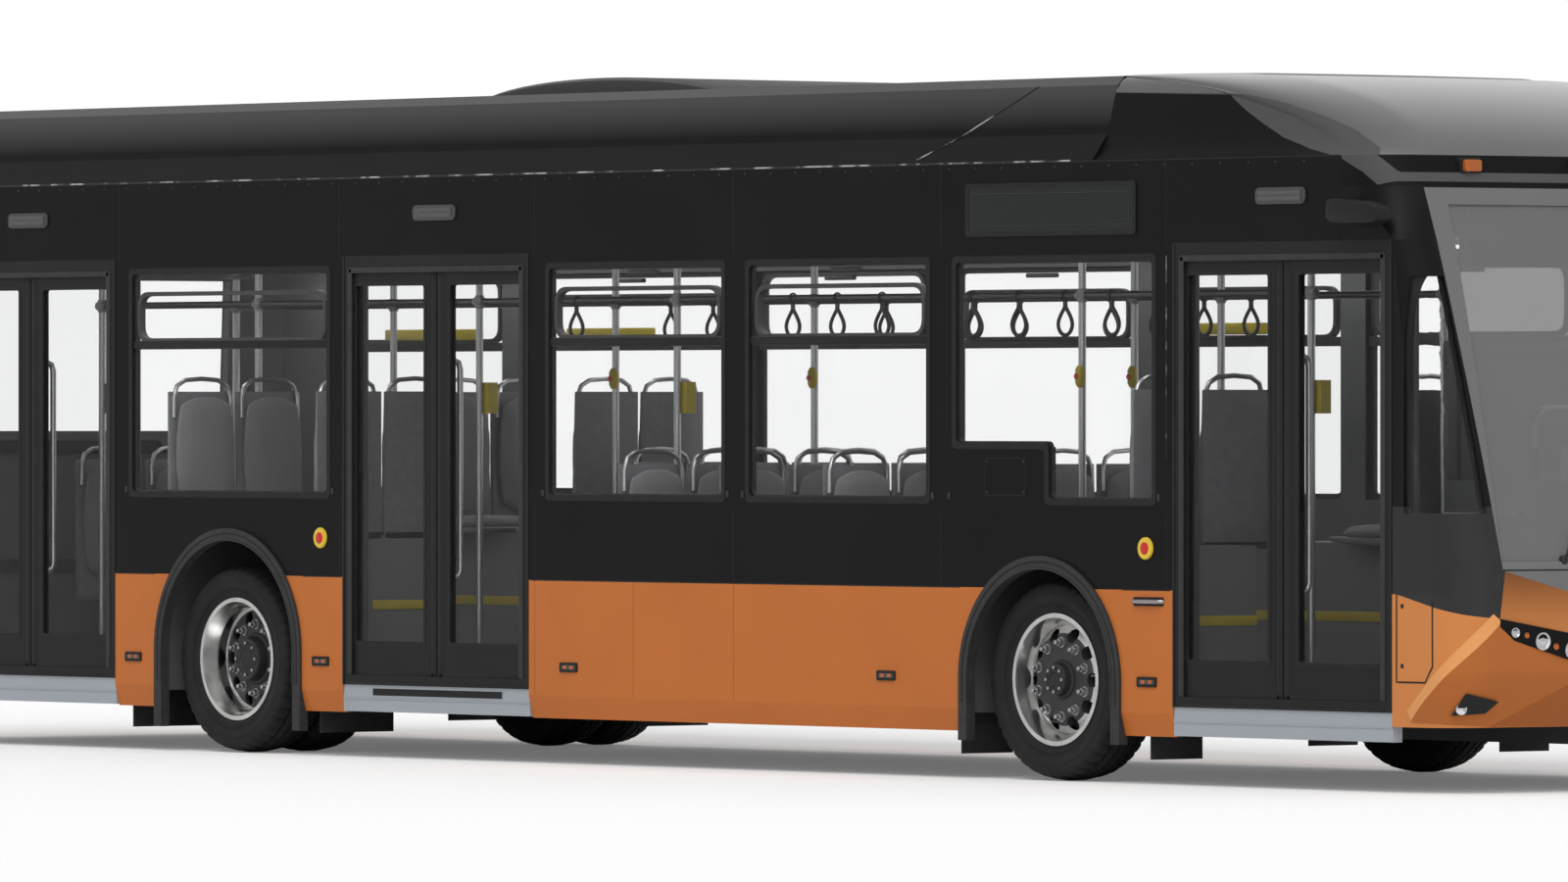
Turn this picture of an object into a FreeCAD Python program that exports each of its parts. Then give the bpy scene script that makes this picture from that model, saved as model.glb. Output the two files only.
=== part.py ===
import FreeCAD, Part
import math
import os
import re

import Sketcher

# City bus with three double doors, low floor throughout and its batteries on the roof.
# Sizes are in millimetres: +X forward, +Y to the driver's side, +Z up, and the origin
# is on the ground under the middle of the bus.

V = FreeCAD.Vector
CORNER_BEND = 0.3   # how near a rounded corner's middle comes to its sharp corner, as a share

# Driving sizes: name, value
SIZES = [
    ("body_width", 2550),
    ("wheelbase", 6160),
    ("nose_length", 547.5),
    ("tail_length", 794.5),
    # Heights of the body above the ground
    ("skirt_bottom_z", 216),
    ("skirt_tuck_z", 320),
    ("skirt_tuck", 26),
    ("belt_z", 866),
    ("window_sill_z", 1250),
    ("high_sill_z", 1500),
    ("window_head_z", 2350),
    ("rail_z", 2776),
    ("ceiling_z", 2500),
    ("cove_z", 2420),
    ("fairing_waist_rise", 124),
    ("fairing_rise", 384),
    ("floor_z", 356),
    # Sheet and panel thicknesses
    ("wall_thick", 60),
    ("skirt_thick", 36),
    ("floor_thick", 60),
    ("glass_thick", 6),
    ("glass_inset", 8),
    ("fairing_thick", 30),
    ("box_sheet", 12),
    ("panel_joint", 0.4),
    # Doorways: where each starts from its axle, and the portal
    ("front_door_start", 935.5),
    ("middle_door_start", 988.5),
    ("rear_door_start", 868.5),
    ("seam_clearance", 0.5),
    ("door_width", 1457),
    ("door_head_z", 2405),
    ("jamb_width", 40),
    ("jamb_depth", 74),
    ("stop_lip", 10),
    ("stop_overlap", 12),
    ("leaf_side_gap", 20),
    ("leaf_middle_gap", 8),
    ("leaf_end_gap", 14),
    ("leaf_thick", 36),
    ("leaf_outer_stile", 34),
    ("leaf_inner_stile", 90),
    ("leaf_top_rail", 84),
    ("leaf_foot_rail", 168),
    ("leaf_rest_gap", 1),
    ("link_offset", 104),
    ("post_radius", 19),
    ("post_setback", 60),
    ("post_collar_radius", 28),
    ("seat_gap", 0.3),
    ("arm_thick", 14),
    ("arm_width", 34),
    ("arm_floor_gap", 7),
    ("arm_leaf_gap", 8),
    ("pin_radius", 9),
    ("pin_clearance", 0.1),
    ("lug_thick", 16),
    ("sill_top_z", 350),
    ("sill_foot_z", 222),
    ("sill_inset", 7),
    ("lug_half", 20),
    # Side windows, measured along the bus from the axles and the doorways
    ("window_a_rear", -585),
    ("window_a_step", 64),
    ("window_a_front", 812),
    ("window_b_rear", -2077),
    ("window_b_front", -759),
    ("window_c_gap", 136.5),
    ("window_c_pillar", 167),
    ("window_d_rear", -745),
    ("window_d_front", 879),
    ("window_e_rear", 1060),
    ("window_e_gap", 65.5),
    ("window_f_gap", 35.5),
    ("window_f_front", -980),
    ("driver_window_rear", 930),
    ("driver_window_gap", 213),
    # Wheels
    ("tyre_radius", 455),
    ("tyre_width", 276),
    ("tyre_bead_radius", 290),
    ("tyre_crown", 14),
    ("tyre_shoulder", 42),
    ("tyre_bead_width", 196),
    ("tyre_bead_rise", 12),
    ("tread_flat", 0.6),
    ("rim_flange_radius", 298.5),
    ("rim_well_radius", 262),
    ("rim_sheet", 12),
    ("rim_width", 222),
    ("front_track", 2110),
    ("rear_track", 1820),
    ("dual_spacing", 312),
    ("hub_radius", 118),
    ("front_hub_length", 120),
    ("rear_hub_length", 290),
    ("hub_end_thick", 4),
    ("stub_end_gap", 1),
    ("front_disc_out", 30),
    ("front_dish", 40),
    ("front_cap_height", 44),
    ("rear_disc_out", -20),
    ("rear_dish", 10),
    ("rear_cap_radius", 104),
    ("rear_cap_height", 62),
    ("disc_thick", 14),
    ("well_slope", 62),
    ("stub_radius", 60),
    ("stub_clearance", 0.1),
    ("hand_hole_radius", 32),
    ("hand_hole_circle", 205),
    ("hand_hole_count", 10),
    ("front_cap_radius", 74),
    ("bead_gap", 0.3),
    # Wheel arches and their rubber trims
    ("front_arch_ahead", 24),
    ("front_arch_radius", 500),
    ("front_arch_foot_z", 175),
    ("rear_arch_ahead", 66),
    ("rear_arch_radius", 535),
    ("rear_arch_foot_z", 120),
    ("arch_centre_z", 452),
    ("rear_arch_rise", 46),
    ("trim_width", 60),
    ("trim_proud", 14),
    ("trim_depth", 50),
    ("trim_clearance", 0.3),
    ("box_half_length", 610),
    ("floor_nose_y", 900),
    ("floor_nose_back", 250),
    ("floor_wing", 120),
    ("floor_tail_y", 1000),
    ("floor_tail_back", 130),
    ("box_inner_y", 520),
    ("box_top_z", 1060),
    # Steering
    ("kingpin_y", 860),
    ("kingpin_radius", 26),
    ("kingpin_boss", 46),
    ("kingpin_eye", 50),
    ("kingpin_cap", 4),
    ("kingpin_high_z", 640),
    ("knuckle_flange_radius", 150),
    ("knuckle_flange_thick", 40),
    # Frame and axles
    ("frame_low_z", 206),
    ("frame_rail_y", 440),
    ("frame_rail_width", 80),
    ("frame_cross_width", 90),
    ("frame_end_back", 330),
    ("outrigger_y", 1180),
    ("towing_reach", 150),
    ("towing_side", 400),
    ("towing_width", 90),
    ("towing_thick", 30),
    ("towing_eye_radius", 20),
    ("frame_axle_gap", 330),
    ("axle_low_z", 190),
    ("axle_beam_depth", 92),
    ("axle_beam_width", 130),
    ("axle_drop_y", 585),
    ("axle_slope", 90),
    ("axle_shift", 40),
    ("front_axle_rise", 100),
    ("rear_axle_rise", 175),
    ("rear_beam_end_y", 690),
    ("rod_side", 380),
    ("rod_radius", 22),
    ("rear_stub_y", 640),
    ("drum_radius", 205),
    ("drum_width", 60),
    # Front end
    ("front_shell_thick", 46),
    ("windscreen_thick", 9),
    ("bumper_low_z", 290),
    ("bumper_low_back", 120),
    ("bumper_low_corner", 300),
    ("bumper_mid_z", 520),
    ("bumper_mid_back", 20),
    ("bumper_mid_corner", 300),
    ("bumper_top_z", 762),
    ("bumper_top_back", 0),
    ("bumper_top_corner", 300),
    ("screen_low_z", 968),
    ("screen_low_back", 4),
    ("screen_low_corner", 300),
    ("screen_mid_z", 1800),
    ("screen_mid_back", 215),
    ("screen_mid_corner", 240),
    ("screen_high_back", 393),
    ("screen_high_corner", 147),
    ("screen_top_z", 2640),
    ("screen_top_back", 468),
    ("screen_top_corner", 330),
    ("brow_back", 528),
    ("brow_corner", 330),
    ("front_crown", 75),
    ("front_crown_y", 1075),
    ("screen_glass_low_z", 1010),
    ("screen_glass_high_z", 2560),
    ("screen_glass_low_y", 1050),
    ("screen_glass_high_y", 985),
    ("side_panel_length", 360),
    ("quarter_inner_y", 1090),
    ("quarter_reach", 50),
    ("quarter_low_z", 1217),
    ("quarter_high_z", 2245),
    ("quarter_rear", 75),
    ("quarter_low_front", 407),
    ("quarter_high_front", 197),
    # Rear end
    ("rear_seam_ahead_of_tail", 400),
    ("rear_shell_thick", 60),
    ("rear_corner_back", 240),
    ("rear_crown", 60),
    ("rear_crown_y", 1080),
    ("rear_lean", 90),
    ("rear_window_low_z", 1560),
    ("rear_window_high_z", 2330),
    ("rear_window_half", 960),
    ("hatch_low_z", 900),
    ("hatch_high_z", 1480),
    ("hatch_half", 860),
    ("hatch_thick", 40),
    ("hatch_gap", 12),
    ("hinge_y", 500),
    ("hinge_half", 24),
    ("hinge_ear", 16),
    ("hinge_pin", 6),
    ("hinge_barrel", 10),
    ("hinge_web", 44),
    # Roof
    ("roof_front_seam_ahead", 380),
    ("wall_end_back", 330),
    ("cove_width", 115),
    ("cove_run", 150),
    ("roof_units_back", 150),
    ("roof_edge_y", 1120),
    ("fairing_waist_y", 1180),
    ("fairing_lip", 40),
    ("fairing_flange", 90),
    ("tail_cap_waist_back", 110),
    ("tail_cap_top_back", 150),
    ("shelf_y", 760),
    ("shelf_thick", 60),
    ("dome_waist_back", 700),
    ("dome_waist_corner", 450),
    ("dome_high_y", 1140),
    ("dome_high_corner", 650),
    ("dome_top_y", 1060),
    ("dome_top_corner", 750),
    ("dome_crown_share", 0.8),
    ("dome_high_rise", 284),
    ("dome_high_back", 1120),
    ("dome_top_back", 1900),
    # Outside fittings
    ("flap_thick", 8),
    ("flap_low_z", 110),
    ("flap_width", 300),
    ("twin_flap_width", 440),
    ("flap_outer_y", 1195),
    ("front_flap_behind", 625),
    ("front_flap_ahead", 690),
    ("rear_flap_behind", 830),
    ("rear_flap_ahead", 700),
    ("display_rear", -488),
    ("display_front", 682),
    ("display_low_z", 2452),
    ("display_high_z", 2680),
    ("display_proud", 5),
    ("header_half_width", 720),
    ("header_low_z", 2290),
    ("header_thick", 90),
    ("header_back", 640),
    ("pod_back", 313),
    ("pod_length", 350),
    ("pod_width", 100),
    ("pod_low_z", 2470),
    ("pod_high_z", 2590),
    ("pod_gap", 22),
    ("stalk_inset", 30),
    ("marker_length", 110),
    ("marker_height", 40),
    ("marker_proud", 7),
    ("marker_z", 458),
    ("marker_rear_behind", 713),
    ("marker_rear_ahead", 816),
    ("marker_middle_gap", 308.5),
    ("marker_front_behind", 1060),
    ("marker_front_ahead", 762),
    ("door_lamp_length", 290),
    ("door_lamp_height", 52),
    ("door_lamp_proud", 14),
    ("door_lamp_z", 2605),
    ("lamp_low_z", 612),
    ("lamp_high_z", 742),
    ("lamp_inner_y", 600),
    ("lamp_outer_y", 1110),
    ("lamp_inset", 5),
    ("lamp_thick", 28),
    ("tail_lamp_low_z", 980),
    ("tail_lamp_high_z", 1430),
    ("tail_lamp_inner_y", 930),
    ("tail_lamp_outer_y", 1070),
    ("wiper_radius", 6),
    ("wiper_low_z", 1015),
    ("wiper_high_z", 1560),
    ("wiper_right_y", -720),
    ("wiper_left_y", 180),
    ("wiper_lean", 336),
    ("wiper_clearance", 7),
    ("wiper_pivot_radius", 15),
    # Inside
    ("seat_width", 400),
    ("seat_depth", 430),
    ("seat_pitch_y", 410),
    ("seat_wall_gap", 18),
    ("cushion_height", 430),
    ("cushion_thick", 70),
    ("back_thick", 60),
    ("back_height", 640),
    ("back_low", 60),
    ("leg_width", 300),
    ("leg_start", 120),
    ("box_seat_shift", 60),
    ("bench_gap", 20),
    ("bench_pitch", 440),
    ("leg_thick", 60),
    ("seat_row_pitch", 760),
    ("right_row_gap", 1034),
    ("row_door_gap", 200),
    ("left_row_gap", 414),
    ("row_pole_gap", 550),
    ("rail_radius", 17.5),
    ("rail_y", 420),
    ("rail_height", 2190),
    ("pole_tail_ahead", 563),
    ("pole_door_gap", 31.5),
    ("pole_middle_gap", 51.5),
    ("pole_row_gap", 113),
    ("pole_right_behind_axle", 1770),
    ("pole_left_behind_axle", 1305),
    ("pole_axle_behind", 690),
    ("pole_right_behind", 41.5),
    ("pole_left_behind", 91.5),
    ("strap_pitch", 330),
    ("strap_width", 92),
    ("strap_height", 200),
    ("strap_band", 14),
    ("strap_thick", 12),
    ("strap_neck", 60),
    ("strap_neck_half", 14),
    ("strap_hole_half", 6),
    ("strap_start", 1055.5),
    ("strap_front", 480),
    ("strap_door_gap", 500),
    ("strap_hole_lean", 1.3),
    ("validator_width", 90),
    ("validator_depth", 60),
    ("validator_height", 150),
    ("validator_low_z", 1650),
    ("step_edge_width", 46),
    ("step_edge_thick", 1.5),
    ("step_edge_gap", 2),
    ("step_edge_inset", 80),
    ("cab_rear", 905),
    ("cab_side_y", 360),
    ("cab_panel_thick", 30),
    ("cab_high_z", 1980),
    ("cab_door_high_z", 1350),
    ("cab_door_length", 760),
    ("dash_rear_back", 760),
    ("dash_front_back", 330),
    ("dash_low_z", 640),
    ("dash_high_z", 1080),
    ("dash_right_y", -180),
    ("dash_left_y", 1130),
    ("driver_floor_z", 560),
    ("driver_seat_y", 760),
    ("driver_seat_back", 1700),
    ("wheel_back", 1000),
    ("wheel_height", 1230),
    ("wheel_ring", 225),
    ("wheel_tube", 15),
    ("wheel_tilt", 25),
    ("column_radius", 32),
    ("column_length", 600),
    ("hub_drop", 50),
    ("wheel_hub_radius", 45),
    ("wheel_hub_height", 40),
    ("spoke_width", 30),
    ("spoke_thick", 14),
    ("spoke_drop", 24),
    ("cab_floor_lap", 60),
    ("dash_leg_width", 60),
    ("dash_leg_back", 180),
    ("button_radius", 48),
    ("button_proud", 10),
    ("button_z", 1051),
    ("rear_button_ahead", 816),
    ("front_button_ahead", 755),
    ("unit_half_width", 860),
    ("unit_rise", 464),
    ("battery_rise", 344),
    ("middle_unit_start", 1055.5),
    ("middle_unit_length", 2100),
    ("front_battery_gap", 750),
    ("rear_battery_length", 2150),
    ("unit_gap", 150),
]

doc = FreeCAD.newDocument("CityBus")
sheet = doc.addObject("Spreadsheet::Sheet", "Sizes")
for row, (alias, value) in enumerate(SIZES, start=1):
    sheet.set("A%d" % row, alias)
    sheet.set("B%d" % row, str(value))
    sheet.setAlias("B%d" % row, alias)
doc.recompute()


# Expressions and small geometry helpers

def tied(words):
    """An expression in the sheet's own names: 'wall_thick / 2' becomes 'Sizes.wall_thick / 2'."""
    return re.sub(r"\b([a-z][a-z_]+)\b", r"Sizes.\1", str(words))


def size(words):
    """The number that an expression in the sheet's names comes to."""
    return float(sheet.evalExpression(tied(words)))


def bind(item, **links):
    """Ties properties to expressions; a double underscore stands for a dot."""
    for prop, words in links.items():
        item.setExpression(prop.replace("__", "."), tied(words))
    return item


def plane_of(body, role):
    """The origin plane of a body by its role, such as XY_Plane."""
    return [item for item in body.Origin.OriginFeatures if item.Role == role][0]


def y_axis_of(body):
    """The body's own Y axis."""
    return [item for item in body.Origin.OriginFeatures if item.Role == "Y_Axis"][0]


def new_body(label):
    """An empty PartDesign body with its own label."""
    body = doc.addObject("PartDesign::Body", label)
    body.Label = label
    return body


def arc_between(start, end, radius, turn):
    """The short arc from start to end, anticlockwise for turn 1 and clockwise for turn -1."""
    chord = end - start
    half = chord.Length / 2
    rise = math.sqrt(max(radius * radius - half * half, 0.0))
    normal = V(-chord.y, chord.x, 0).normalize()
    centre = (start + end) * 0.5 + normal * rise * turn
    first, last = (start, end) if turn > 0 else (end, start)
    angle_a = math.atan2(first.y - centre.y, first.x - centre.x)
    angle_b = math.atan2(last.y - centre.y, last.x - centre.x)
    circle = Part.Circle(centre, V(0, 0, 1), radius)
    return Part.ArcOfCircle(circle, angle_a, angle_b)


def sketch_on(body, name, role, offset, loops):
    """A sketch on an origin plane of its body, moved along the plane's normal by offset.

    Each loop is a closed list of points (x, y) in the sheet's names. A point (x, y, radius, turn)
    starts an arc of that radius to the next point. A loop of one item ("circle", x, y, radius)
    is a whole circle. Every corner is dimensioned from the sketch's origin.
    """
    sketch = body.newObject("Sketcher::SketchObject", name)
    sketch.AttachmentSupport = [(plane_of(body, role), "")]
    sketch.MapMode = "FlatFace"
    bind(sketch, AttachmentOffset__Base__z=offset)
    shapes = []
    rules = []
    links = []
    for loop in loops:
        first = len(shapes)
        if loop[0][0] == "circle":
            _, x, y, radius = loop[0]
            shapes.append(Part.Circle(V(size(x), size(y), 0), V(0, 0, 1), size(radius)))
            for kind, words in (("DistanceX", x), ("DistanceY", y)):
                links.append((len(rules), words))
                rules.append(Sketcher.Constraint(kind, -1, 1, first, 3, size(words)))
            links.append((len(rules), radius))
            rules.append(Sketcher.Constraint("Radius", first, size(radius)))
            continue
        corners = [V(size(point[0]), size(point[1]), 0) for point in loop]
        ends = []
        for index, point in enumerate(loop):
            start = corners[index]
            end = corners[(index + 1) % len(loop)]
            if len(point) == 4:
                shapes.append(arc_between(start, end, size(point[2]), point[3]))
                ends.append((1, 2) if point[3] > 0 else (2, 1))
            else:
                shapes.append(Part.LineSegment(start, end))
                ends.append((1, 2))
        for index, point in enumerate(loop):
            item = first + index
            after = (index + 1) % len(loop)
            rules.append(Sketcher.Constraint("Coincident", item, ends[index][1], first + after, ends[after][0]))
            for kind, words in (("DistanceX", point[0]), ("DistanceY", point[1])):
                links.append((len(rules), words))
                rules.append(Sketcher.Constraint(kind, -1, 1, item, ends[index][0], size(words)))
            if len(point) == 4:
                links.append((len(rules), point[2]))
                rules.append(Sketcher.Constraint("Radius", item, size(point[2])))
    sketch.addGeometry(shapes, False)
    sketch.addConstraint(rules)
    for index, words in links:
        sketch.setExpression("Constraints[%d]" % index, tied(words))
    return sketch


def pad(body, name, role, loops, low, high):
    """Material between low and high along the axis that the plane faces."""
    offset = "-1 * (%s)" % high if role == "XZ_Plane" else low
    sketch = sketch_on(body, name + "Sketch", role, offset, loops)
    feature = body.newObject("PartDesign::Pad", name)
    feature.Profile = sketch
    bind(feature, Length="(%s) - (%s)" % (high, low))
    body.Tip = feature
    return feature


def pocket(body, name, role, loops, low, high):
    """A cut between low and high along the axis that the plane faces."""
    offset = "-1 * (%s)" % low if role == "XZ_Plane" else high
    sketch = sketch_on(body, name + "Sketch", role, offset, loops)
    feature = body.newObject("PartDesign::Pocket", name)
    feature.Profile = sketch
    bind(feature, Length="(%s) - (%s)" % (high, low))
    body.Tip = feature
    return feature


def rect(x_low, x_high, y_low, y_high):
    """A rectangle as a loop of corners."""
    return [(x_low, y_low), (x_high, y_low), (x_high, y_high), (x_low, y_high)]


def prism(label, role, loops, low, high):
    """A body that is one pad."""
    body = new_body(label)
    pad(body, label + "Pad", role, loops, low, high)
    return body


def block(name, x_low, x_high, y_low, y_high, z_low, z_high):
    """A box between two corners given in the sheet's names."""
    item = doc.addObject("Part::Box", name)
    bind(item, Length="(%s) - (%s)" % (x_high, x_low))
    bind(item, Width="(%s) - (%s)" % (y_high, y_low))
    bind(item, Height="(%s) - (%s)" % (z_high, z_low))
    bind(item, Placement__Base__x=x_low, Placement__Base__y=y_low, Placement__Base__z=z_low)
    return item


def rod(name, radius, length, x, y, z, axis="Z"):
    """A cylinder that starts at a point and runs along +X, +Y or +Z."""
    item = doc.addObject("Part::Cylinder", name)
    turns = {"X": FreeCAD.Rotation(V(0, 1, 0), 90), "Y": FreeCAD.Rotation(V(1, 0, 0), -90)}
    item.Placement = FreeCAD.Placement(V(0, 0, 0), turns.get(axis, FreeCAD.Rotation()))
    bind(item, Radius=radius, Height=length)
    bind(item, Placement__Base__x=x, Placement__Base__y=y, Placement__Base__z=z)
    return item


def fused(label, items):
    """One solid from several that meet."""
    item = doc.addObject("Part::MultiFuse", label)
    item.Shapes = items
    item.Refine = True
    item.Label = label
    return item


def cut(label, base, tool):
    """The base with the tool taken out."""
    item = doc.addObject("Part::Cut", label)
    item.Base = base
    item.Tool = tool
    item.Label = label
    return item


def group(label, items):
    """Like pieces of one body that don't touch, kept as separate solids."""
    item = doc.addObject("Part::Compound", label)
    item.Links = items
    item.Label = label
    return item


def coded(label, shape):
    """A shape that is worked out in code, for forms that no sketch feature fits."""
    item = doc.addObject("Part::Feature", label)
    item.Label = label
    item.Shape = shape
    return item


nodes = []


def node(item):
    """Marks a finished sub-part, which is written under its label."""
    nodes.append(item)
    return item


LENGTH = "(nose_length + front_door_start + wheelbase + rear_door_start + 2 * door_width + tail_length)"
NOSE = "(%s / 2)" % LENGTH
TAIL = "(-1 * %s / 2)" % LENGTH
FRONT_AXLE = "(%s - nose_length - door_width - front_door_start)" % NOSE
REAR_AXLE = "(%s + tail_length + door_width + rear_door_start)" % TAIL
HALF = "body_width / 2"
FRONT_SEAM = "(%s - nose_length + seam_clearance)" % NOSE
WALL_END = "(%s - wall_end_back)" % FRONT_SEAM
REAR_SEAM = "(%s + rear_seam_ahead_of_tail)" % TAIL
DOORS = {
    "front": "(%s + front_door_start + door_width / 2)" % FRONT_AXLE,
    "middle": "(%s + middle_door_start + door_width / 2)" % REAR_AXLE,
    "rear": "(%s - rear_door_start - door_width / 2)" % REAR_AXLE,
}
MIDDLE_DOOR_FRONT = "(%s + middle_door_start + door_width)" % REAR_AXLE
WAIST_Z = "(rail_z + fairing_waist_rise)"
ROOF_Z = "(rail_z + fairing_rise)"
LEAF_WIDTH = "((door_width - 2 * jamb_width - 2 * leaf_side_gap - leaf_middle_gap) / 2)"
ARM_LENGTH = "((%s + post_setback) / 2)" % LEAF_WIDTH
LEAF_OUTER_Y = "(-%s + stop_lip + leaf_rest_gap)" % HALF
LEAF_INNER_Y = "(-%s + stop_lip + leaf_rest_gap + leaf_thick)" % HALF
LINK_Y = "(-%s + stop_lip + leaf_rest_gap + leaf_thick / 2 + link_offset)" % HALF
ARM_LOW_Z = "(floor_z + arm_floor_gap)"
LEAF_FOOT_Z = "(floor_z + arm_floor_gap + arm_thick + arm_leaf_gap)"
LEAF_TOP_Z = "(door_head_z - jamb_width - leaf_end_gap)"
ARM_HIGH_Z = "(door_head_z - jamb_width - leaf_end_gap + arm_leaf_gap)"
WINDOWS_RIGHT = {
    "A": ("(%s + window_a_rear)" % FRONT_AXLE, "(%s + window_a_front)" % FRONT_AXLE),
    "B": ("(%s + window_b_rear)" % FRONT_AXLE, "(%s + window_b_front)" % FRONT_AXLE),
    "C": ("(%s + window_c_gap)" % MIDDLE_DOOR_FRONT, "(%s + window_b_rear - window_c_pillar)" % FRONT_AXLE),
    "D": ("(%s + window_d_rear)" % REAR_AXLE, "(%s + window_d_front)" % REAR_AXLE),
}
WINDOWS_LEFT = dict(
    WINDOWS_RIGHT,
    E=("(%s + window_e_rear)" % REAR_AXLE, "(%s - window_e_gap)" % MIDDLE_DOOR_FRONT),
    F=("(%s - rear_door_start - door_width + window_f_gap)" % REAR_AXLE, "(%s + window_f_front)" % REAR_AXLE),
    Driver=("(%s + driver_window_rear)" % FRONT_AXLE, "(%s - driver_window_gap)" % FRONT_SEAM),
)


def y_span(side, inner, outer):
    """The low and high Y of a layer between two distances from the middle, on side -1 or 1."""
    if side < 0:
        return "-(%s)" % outer, "-(%s)" % inner
    return inner, outer


def window_loop(key, place, side):
    """The outline of one side window, which steps up over the front wheel."""
    x_rear, x_front = place
    if key == "A" and side < 0:
        x_step = "%s + window_a_step" % FRONT_AXLE
        return [
            (x_rear, "high_sill_z"), (x_step, "high_sill_z"), (x_step, "window_sill_z"),
            (x_front, "window_sill_z"), (x_front, "window_head_z"), (x_rear, "window_head_z"),
        ]
    return rect(x_rear, x_front, "window_sill_z", "window_head_z")


# Wheel arches

def arch_loop(centre_x, centre_z, radius, foot_z):
    """The opening over one wheel: a half circle on straight legs."""
    rear = "%s - %s" % (centre_x, radius)
    front = "%s + %s" % (centre_x, radius)
    top = "%s + %s" % (centre_z, radius)
    return [
        (rear, foot_z), (front, foot_z), (front, centre_z, radius, 1),
        (centre_x, top, radius, 1), (rear, centre_z),
    ]


FRONT_ARCH = ("%s + front_arch_ahead" % FRONT_AXLE, "arch_centre_z", "front_arch_radius")
REAR_ARCH = ("%s + rear_arch_ahead" % REAR_AXLE, "(arch_centre_z + rear_arch_rise)", "rear_arch_radius")
BELOW = "(skirt_bottom_z - 50)"


def arch_cuts():
    """The cuts in the side panels that the arch trims sit in."""
    loops = []
    for x, z, radius in (FRONT_ARCH, REAR_ARCH):
        loops.append(arch_loop(x, z, "(%s + trim_width + trim_clearance)" % radius, BELOW))
    return loops


# Side walls above the belt line, with windows and doorways cut

def side_wall(label, side, windows):
    low, high = y_span(side, HALF + " - wall_thick", HALF)
    outline = [(REAR_SEAM, "belt_z")]
    if side < 0:
        for name in ("rear", "middle"):
            left = "%s - door_width / 2" % DOORS[name]
            right = "%s + door_width / 2" % DOORS[name]
            outline += [(left, "belt_z"), (left, "door_head_z"), (right, "door_head_z"), (right, "belt_z")]
        left = "%s - door_width / 2" % DOORS["front"]
        outline += [(left, "belt_z"), (left, "door_head_z")]
    else:
        outline += [(FRONT_SEAM, "belt_z"), (FRONT_SEAM, "door_head_z")]
    outline += [(WALL_END, "door_head_z"), (WALL_END, "rail_z"), (REAR_SEAM, "rail_z")]
    loops = [outline] + [window_loop(key, place, side) for key, place in windows.items()]
    body = prism(label, "XZ_Plane", loops, low, high)
    pocket(body, label + "Arches", "XZ_Plane", arch_cuts(), low, high)
    return body


node(group("side_walls", [side_wall("WallRight", -1, WINDOWS_RIGHT), side_wall("WallLeft", 1, WINDOWS_LEFT)]))


# Side glass, bonded flush into the walls

def side_glass():
    panes = []
    for side, windows in ((-1, WINDOWS_RIGHT), (1, WINDOWS_LEFT)):
        low, high = y_span(side, HALF + " - glass_inset - glass_thick", HALF + " - glass_inset")
        for key, place in windows.items():
            name = "Pane%s%s" % ("Right" if side < 0 else "Left", key)
            panes.append(prism(name, "XZ_Plane", [window_loop(key, place, side)], low, high))
    return panes


panes = side_glass()


# Lower side panels, tucked in at the foot, open at the doors and the wheels

def skirt(name, side):
    outer = "%s%s" % ("-" if side < 0 else "", HALF)
    sign = "+" if side < 0 else "-"
    back = "(%s) %s skirt_thick" % (outer, sign)
    tucked = "(%s) %s skirt_tuck" % (outer, sign)
    body = new_body(name)
    profile = [
        (outer, "belt_z"), (outer, "skirt_tuck_z"), (tucked, "skirt_bottom_z"),
        ("%s %s skirt_thick" % (tucked, sign), "skirt_bottom_z"), (back, "skirt_tuck_z"), (back, "belt_z"),
    ]
    pad(body, name + "Pad", "YZ_Plane", [profile], REAR_SEAM, FRONT_SEAM)
    holes = arch_cuts()
    if side < 0:
        over = "belt_z + 20"
        for place in ("rear", "middle"):
            left = "%s - door_width / 2" % DOORS[place]
            right = "%s + door_width / 2" % DOORS[place]
            holes.append(rect(left, right, BELOW, over))
        left = "%s - door_width / 2" % DOORS["front"]
        holes.append(rect(left, FRONT_SEAM + " + 20", BELOW, over))
    low, high = y_span(side, HALF + " - 100", HALF + " + 20")
    pocket(body, name + "Holes", "XZ_Plane", holes, low, high)
    return body


node(group("skirts", [skirt("SkirtRight", -1), skirt("SkirtLeft", 1)]))


# Rubber wheel-arch trims

def arch_trims():
    trims = []
    for side in (-1, 1):
        low, high = y_span(side, HALF + " + trim_proud - trim_depth", HALF + " + trim_proud")
        for name, arch, foot in (
            ("Front", FRONT_ARCH, "front_arch_foot_z"), ("Rear", REAR_ARCH, "rear_arch_foot_z"),
        ):
            x, z, radius = arch
            outer = "(%s + trim_width)" % radius
            loop = [
                ("%s + %s" % (x, radius), foot), ("%s + %s" % (x, outer), foot),
                ("%s + %s" % (x, outer), z, outer, 1), (x, "%s + %s" % (z, outer), outer, 1),
                ("%s - %s" % (x, outer), z), ("%s - %s" % (x, outer), foot),
                ("%s - %s" % (x, radius), foot), ("%s - %s" % (x, radius), z, radius, -1),
                (x, "%s + %s" % (z, radius), radius, -1), ("%s + %s" % (x, radius), z),
            ]
            label = "Trim%s%s" % (name, "Right" if side < 0 else "Left")
            trims.append(prism(label, "XZ_Plane", [loop], low, high))
    return node(group("arch_trims", trims))


arch_trims()


# Doorways: portal frames with an outside stop lip, and silver sills under them

def door_edges(place):
    """Where a doorway's portal begins and ends along the bus."""
    return "(%s - door_width / 2)" % DOORS[place], "(%s + door_width / 2)" % DOORS[place]


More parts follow.
